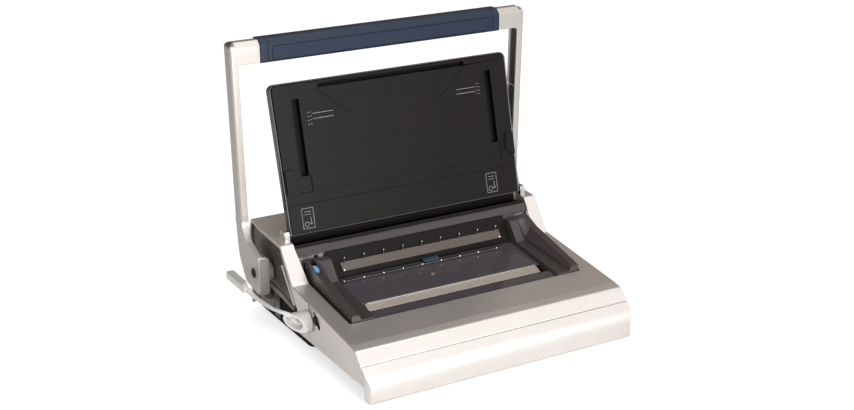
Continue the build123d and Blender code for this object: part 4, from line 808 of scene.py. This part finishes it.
def build_lever():
    """The closer's lever: a thin bar that leaves the knob's top and runs back, low, to a thick finger pad."""
    stations = [
        (-242.5, 152.5, 71.6, 6.5, 5.0),
        (-247.0, 159.0, 73.6, 5.6, 4.0),
        (-251.8, 169.0, 74.0, 5.2, 3.6),
        (-254.2, 190.0, 71.4, 5.3, 3.6),
        (-254.2, 226.0, 67.6, 5.5, 3.8),
        (-254.2, 250.0, 66.8, 5.5, 4.2),
        (-254.6, 272.0, 69.0, 6.0, 7.0),
    ]
    line = smooth_path(stations)
    lever = bar_along("bent_lever", [p[:3] for p in line], [p[3:] for p in line], "closer", "white_plastic")
    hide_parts("closer_lever")
    outline = [(-263.6, 261.5), (-251.8, 276.0), (-251.8, 326.5), (-263.6, 329.5)]
    mesh = skinned("lever_end", [[at(x, y, z) for x, y in outline] for z in (66.5, 77.55)])
    mesh.shade_smooth()
    end = place_mesh("lever_end", mesh)
    ease_edges(end, 2.2, 4)
    shade_evenly(end)
    own(made_real(end), "closer", "white_plastic")


# Both sides

SIDES = ((-1, "left"), (1, "right"))


def build_side_trims():
    """Two bright beads along each side panel's slanting front edge, their bright finish a painted highlight
    there, and a grey skirt along its foot.
    """
    skirt = [(295.0, 64.8), (247.0, 64.4), (204.5, 54.2), (207.0, 51.8)]
    skirt += [(212.0, 51.8), (247.0, 55.6), (288.0, 60.2), (295.0, 62.6)]
    beads = {"front": ((203.5, 61.0), (242.5, 108.0)), "rear": ((207.0, 59.5), (246.0, 106.5))}
    bead_x, inner_x, outer_x = 212.1, 211.4, 213.0
    for side, word in SIDES:
        # The beads stand for real ridges; their bright silver paints the highlight along the edge
        for label, (low, high) in beads.items():
            ends = [at(side * bead_x, *low), at(side * bead_x, *high)]
            swept(word + "_panel_bead_" + label, ends, 0.55, "base", "bright_silver")
        x0, x1 = sorted((side * outer_x, side * inner_x))
        prism_x(word + "_panel_skirt", skirt, x0, x1, "base", "grey_post", 0.3)


def build_hub_fronts():
    """Each hub's grey front and a black disc in its recess, that disc painted shade, and a ribbed grey bumper
    on the pan below it.
    """
    front = [(265.2, 57.5), (265.2, 111.0), (266.6, 112.4), (267.0, 111.0), (267.0, 57.5)]
    disc = [(7.3, -0.1), (7.3, 0.4), (6.9, 0.7), (5.2, 0.6), (4.6, 0.25), (0.3, 0.2)]
    bumper = [(268.0, 36.0), (268.0, 47.5), (296.0, 47.5), (296.0, 36.0)]
    for side, word in SIDES:
        x0, x1 = sorted((side * 223.0, side * 236.8))
        prism_x(word + "_hub_front", front, x0, x1, "handle", "grey_post", 0.3)
        # Painted shade: a black disc that darkens the hub's recess
        recess_shade = lathe("hub_plug", disc, 32)
        outward = (0, math.radians(90 * side), 0)
        hub = [at(side * 238.0, 285.5, 86.0)]
        repeated(word + "_hub_plug", recess_shade, hub, "handle", "black_plastic", turn=outward)
        x0, x1 = sorted((side * 212.0, side * 222.5))
        prism_x(word + "_bumper", bumper, x0, x1, "base", "grey_post", 0.5)
        rib = lathe("bumper_rib", [(1.2, 0.0), (1.7, 0.5), (1.7, 11.5), (1.2, 12.0)], 12)
        points = [at(side * 222.6, 270.5 + 5.8 * i, 35.8) for i in range(5)]
        repeated(word + "_bumper_ribs", rib, points, "base", "grey_post")


def build_pan_screws():
    """Countersunk screws under the pan, where the casing is held."""
    profile = [(1.8, -0.3), (3.1, 0.15), (3.1, 0.5), (2.6, 0.8), (1.2, 0.8), (1.0, 0.3), (0.3, 0.2)]
    screw = lathe("pan_screw", profile, 20)
    places = [(-150, 60), (150, 60), (-150, 150), (150, 150), (-185, 300), (185, 300), (0, 60), (0, 300)]
    under = [at(x, y, 4.0) for x, y in places]
    repeated("pan_screws", screw, under, "base", "steel_plate", turn=(math.pi, 0, 0))


# Camera, lamps and floor

def place_camera():
    """The photograph's view: a long lens from the front left and above."""
    azimuth, elevation = -30.057, 20.019
    camera = bpy.data.cameras.new("camera")
    camera.lens = 62.81
    camera.sensor_width = 36.0
    camera.sensor_fit = "HORIZONTAL"
    camera.clip_start = 0.05
    holder = bpy.data.objects.new("camera", camera)
    bpy.context.scene.collection.objects.link(holder)
    holder.location = at(-1015.3, -1555.9, 912.9)
    holder.rotation_euler = (math.radians(90 - elevation), 0, math.radians(azimuth))
    bpy.context.scene.camera = holder


def add_lamp(name, place, height, power):
    """A soft square lamp that points at a height above the machine's middle."""
    light = bpy.data.lights.new(name, "AREA")
    light.shape = "SQUARE"
    light.size = 1.4
    light.energy = power
    holder = bpy.data.objects.new(name, light)
    bpy.context.scene.collection.objects.link(holder)
    holder.location = place
    holder.rotation_euler = (Vector((0, 0, height)) - Vector(place)).to_track_quat("-Z", "Y").to_euler()


def seen_straight(tree):
    """1 where the camera looks, also through glass, and 0 for bounced light."""
    path = add(tree, "ShaderNodeLightPath").outputs
    return maths(tree, "MAXIMUM", path["Is Camera Ray"], path["Is Transmission Ray"])


def blended(tree, factor, first, second):
    """The output of one shader where a factor is 0 and of another where it is 1."""
    return add(tree, "ShaderNodeMixShader", _0=factor, _1=first, _2=second).outputs[0]


def background(tree, colour, strength):
    """The output of a plain background."""
    return add(tree, "ShaderNodeBackground", Color=colour, Strength=strength).outputs[0]


def light_scene():
    """A bright plain studio: a white world that reflects dim from behind, and three lamps."""
    world = bpy.data.worlds.new("studio")
    bpy.context.scene.world = world
    world.use_nodes = True
    tree = world.node_tree
    tree.nodes.clear()
    looking = add(tree, "ShaderNodeTexCoord").outputs["Generated"]
    rearward = add(tree, "ShaderNodeSeparateXYZ", Vector=looking).outputs[1]
    behind = ramp(tree, rearward, 0.0, 1.0, 0.1, 0.45)
    bright = background(tree, linear("FFFCFA"), 1.1)
    dim = background(tree, linear("F3E3D3"), 0.235)
    mirrored = blended(tree, behind, bright, dim)
    glossy = add(tree, "ShaderNodeLightPath").outputs["Is Glossy Ray"]
    shed = blended(tree, glossy, background(tree, linear("F7F4F1"), 0.5), mirrored)
    seen = blended(tree, seen_straight(tree), shed, background(tree, (1, 1, 1, 1), 1.0))
    output = add(tree, "ShaderNodeOutputWorld")
    tree.links.new(seen, output.inputs[0])
    add_lamp("front_lamp", (-0.1, -2.2, 0.5), 0.08, 60)
    add_lamp("left_lamp", (-2.0, -0.5, 1.0), 0.15, 6)
    add_lamp("top_lamp", (0.1, -0.2, 2.1), 0.1, 7)


def make_floor():
    """A white floor that keeps the machine's soft shadow."""
    mesh = bpy.data.meshes.new("floor")
    side = 6.0
    corners = [(-side, -side, 0), (side, -side, 0), (side, side, 0), (-side, side, 0)]
    mesh.from_pydata(corners, [], [(0, 1, 2, 3)])
    floor = place_mesh("floor", mesh)
    material, tree, shader, place = new_material("studio_sweep")
    tone = ramp(tree, noise(tree, place, 4.0), 0.86, 0.88)
    tint = add(tree, "ShaderNodeCombineColor", Red=tone, Green=tone, Blue=tone)
    tree.links.new(tint.outputs[0], shader.inputs["Base Color"])
    shader.inputs["Roughness"].default_value = 0.9
    shader.inputs["Specular IOR Level"].default_value = 0.1
    glow = add(tree, "ShaderNodeEmission", Color=(1, 1, 1, 1), Strength=0.6)
    lit = add(tree, "ShaderNodeAddShader", _0=shader.outputs[0], _1=glow.outputs[0])
    shown = blended(tree, seen_straight(tree), shader.outputs[0], lit.outputs[0])
    output = next(node for node in tree.nodes if node.type == "OUTPUT_MATERIAL")
    tree.links.new(shown, output.inputs[0])
    mesh.materials.append(material)


place_camera()
light_scene()
make_floor()
for node_name, edge in EASED.items():
    eased(node_name, edge)
darken_lid()
build_spine_rest()
build_hook_tips()
build_lid_marks()
build_knob()
build_closer_shaft()
build_lever()
build_side_trims()
build_hub_fronts()
build_lid_seal()
build_floor_marks()
build_bar_edge()
build_pan_screws()
bpy.context.scene.view_settings.view_transform = "Standard"
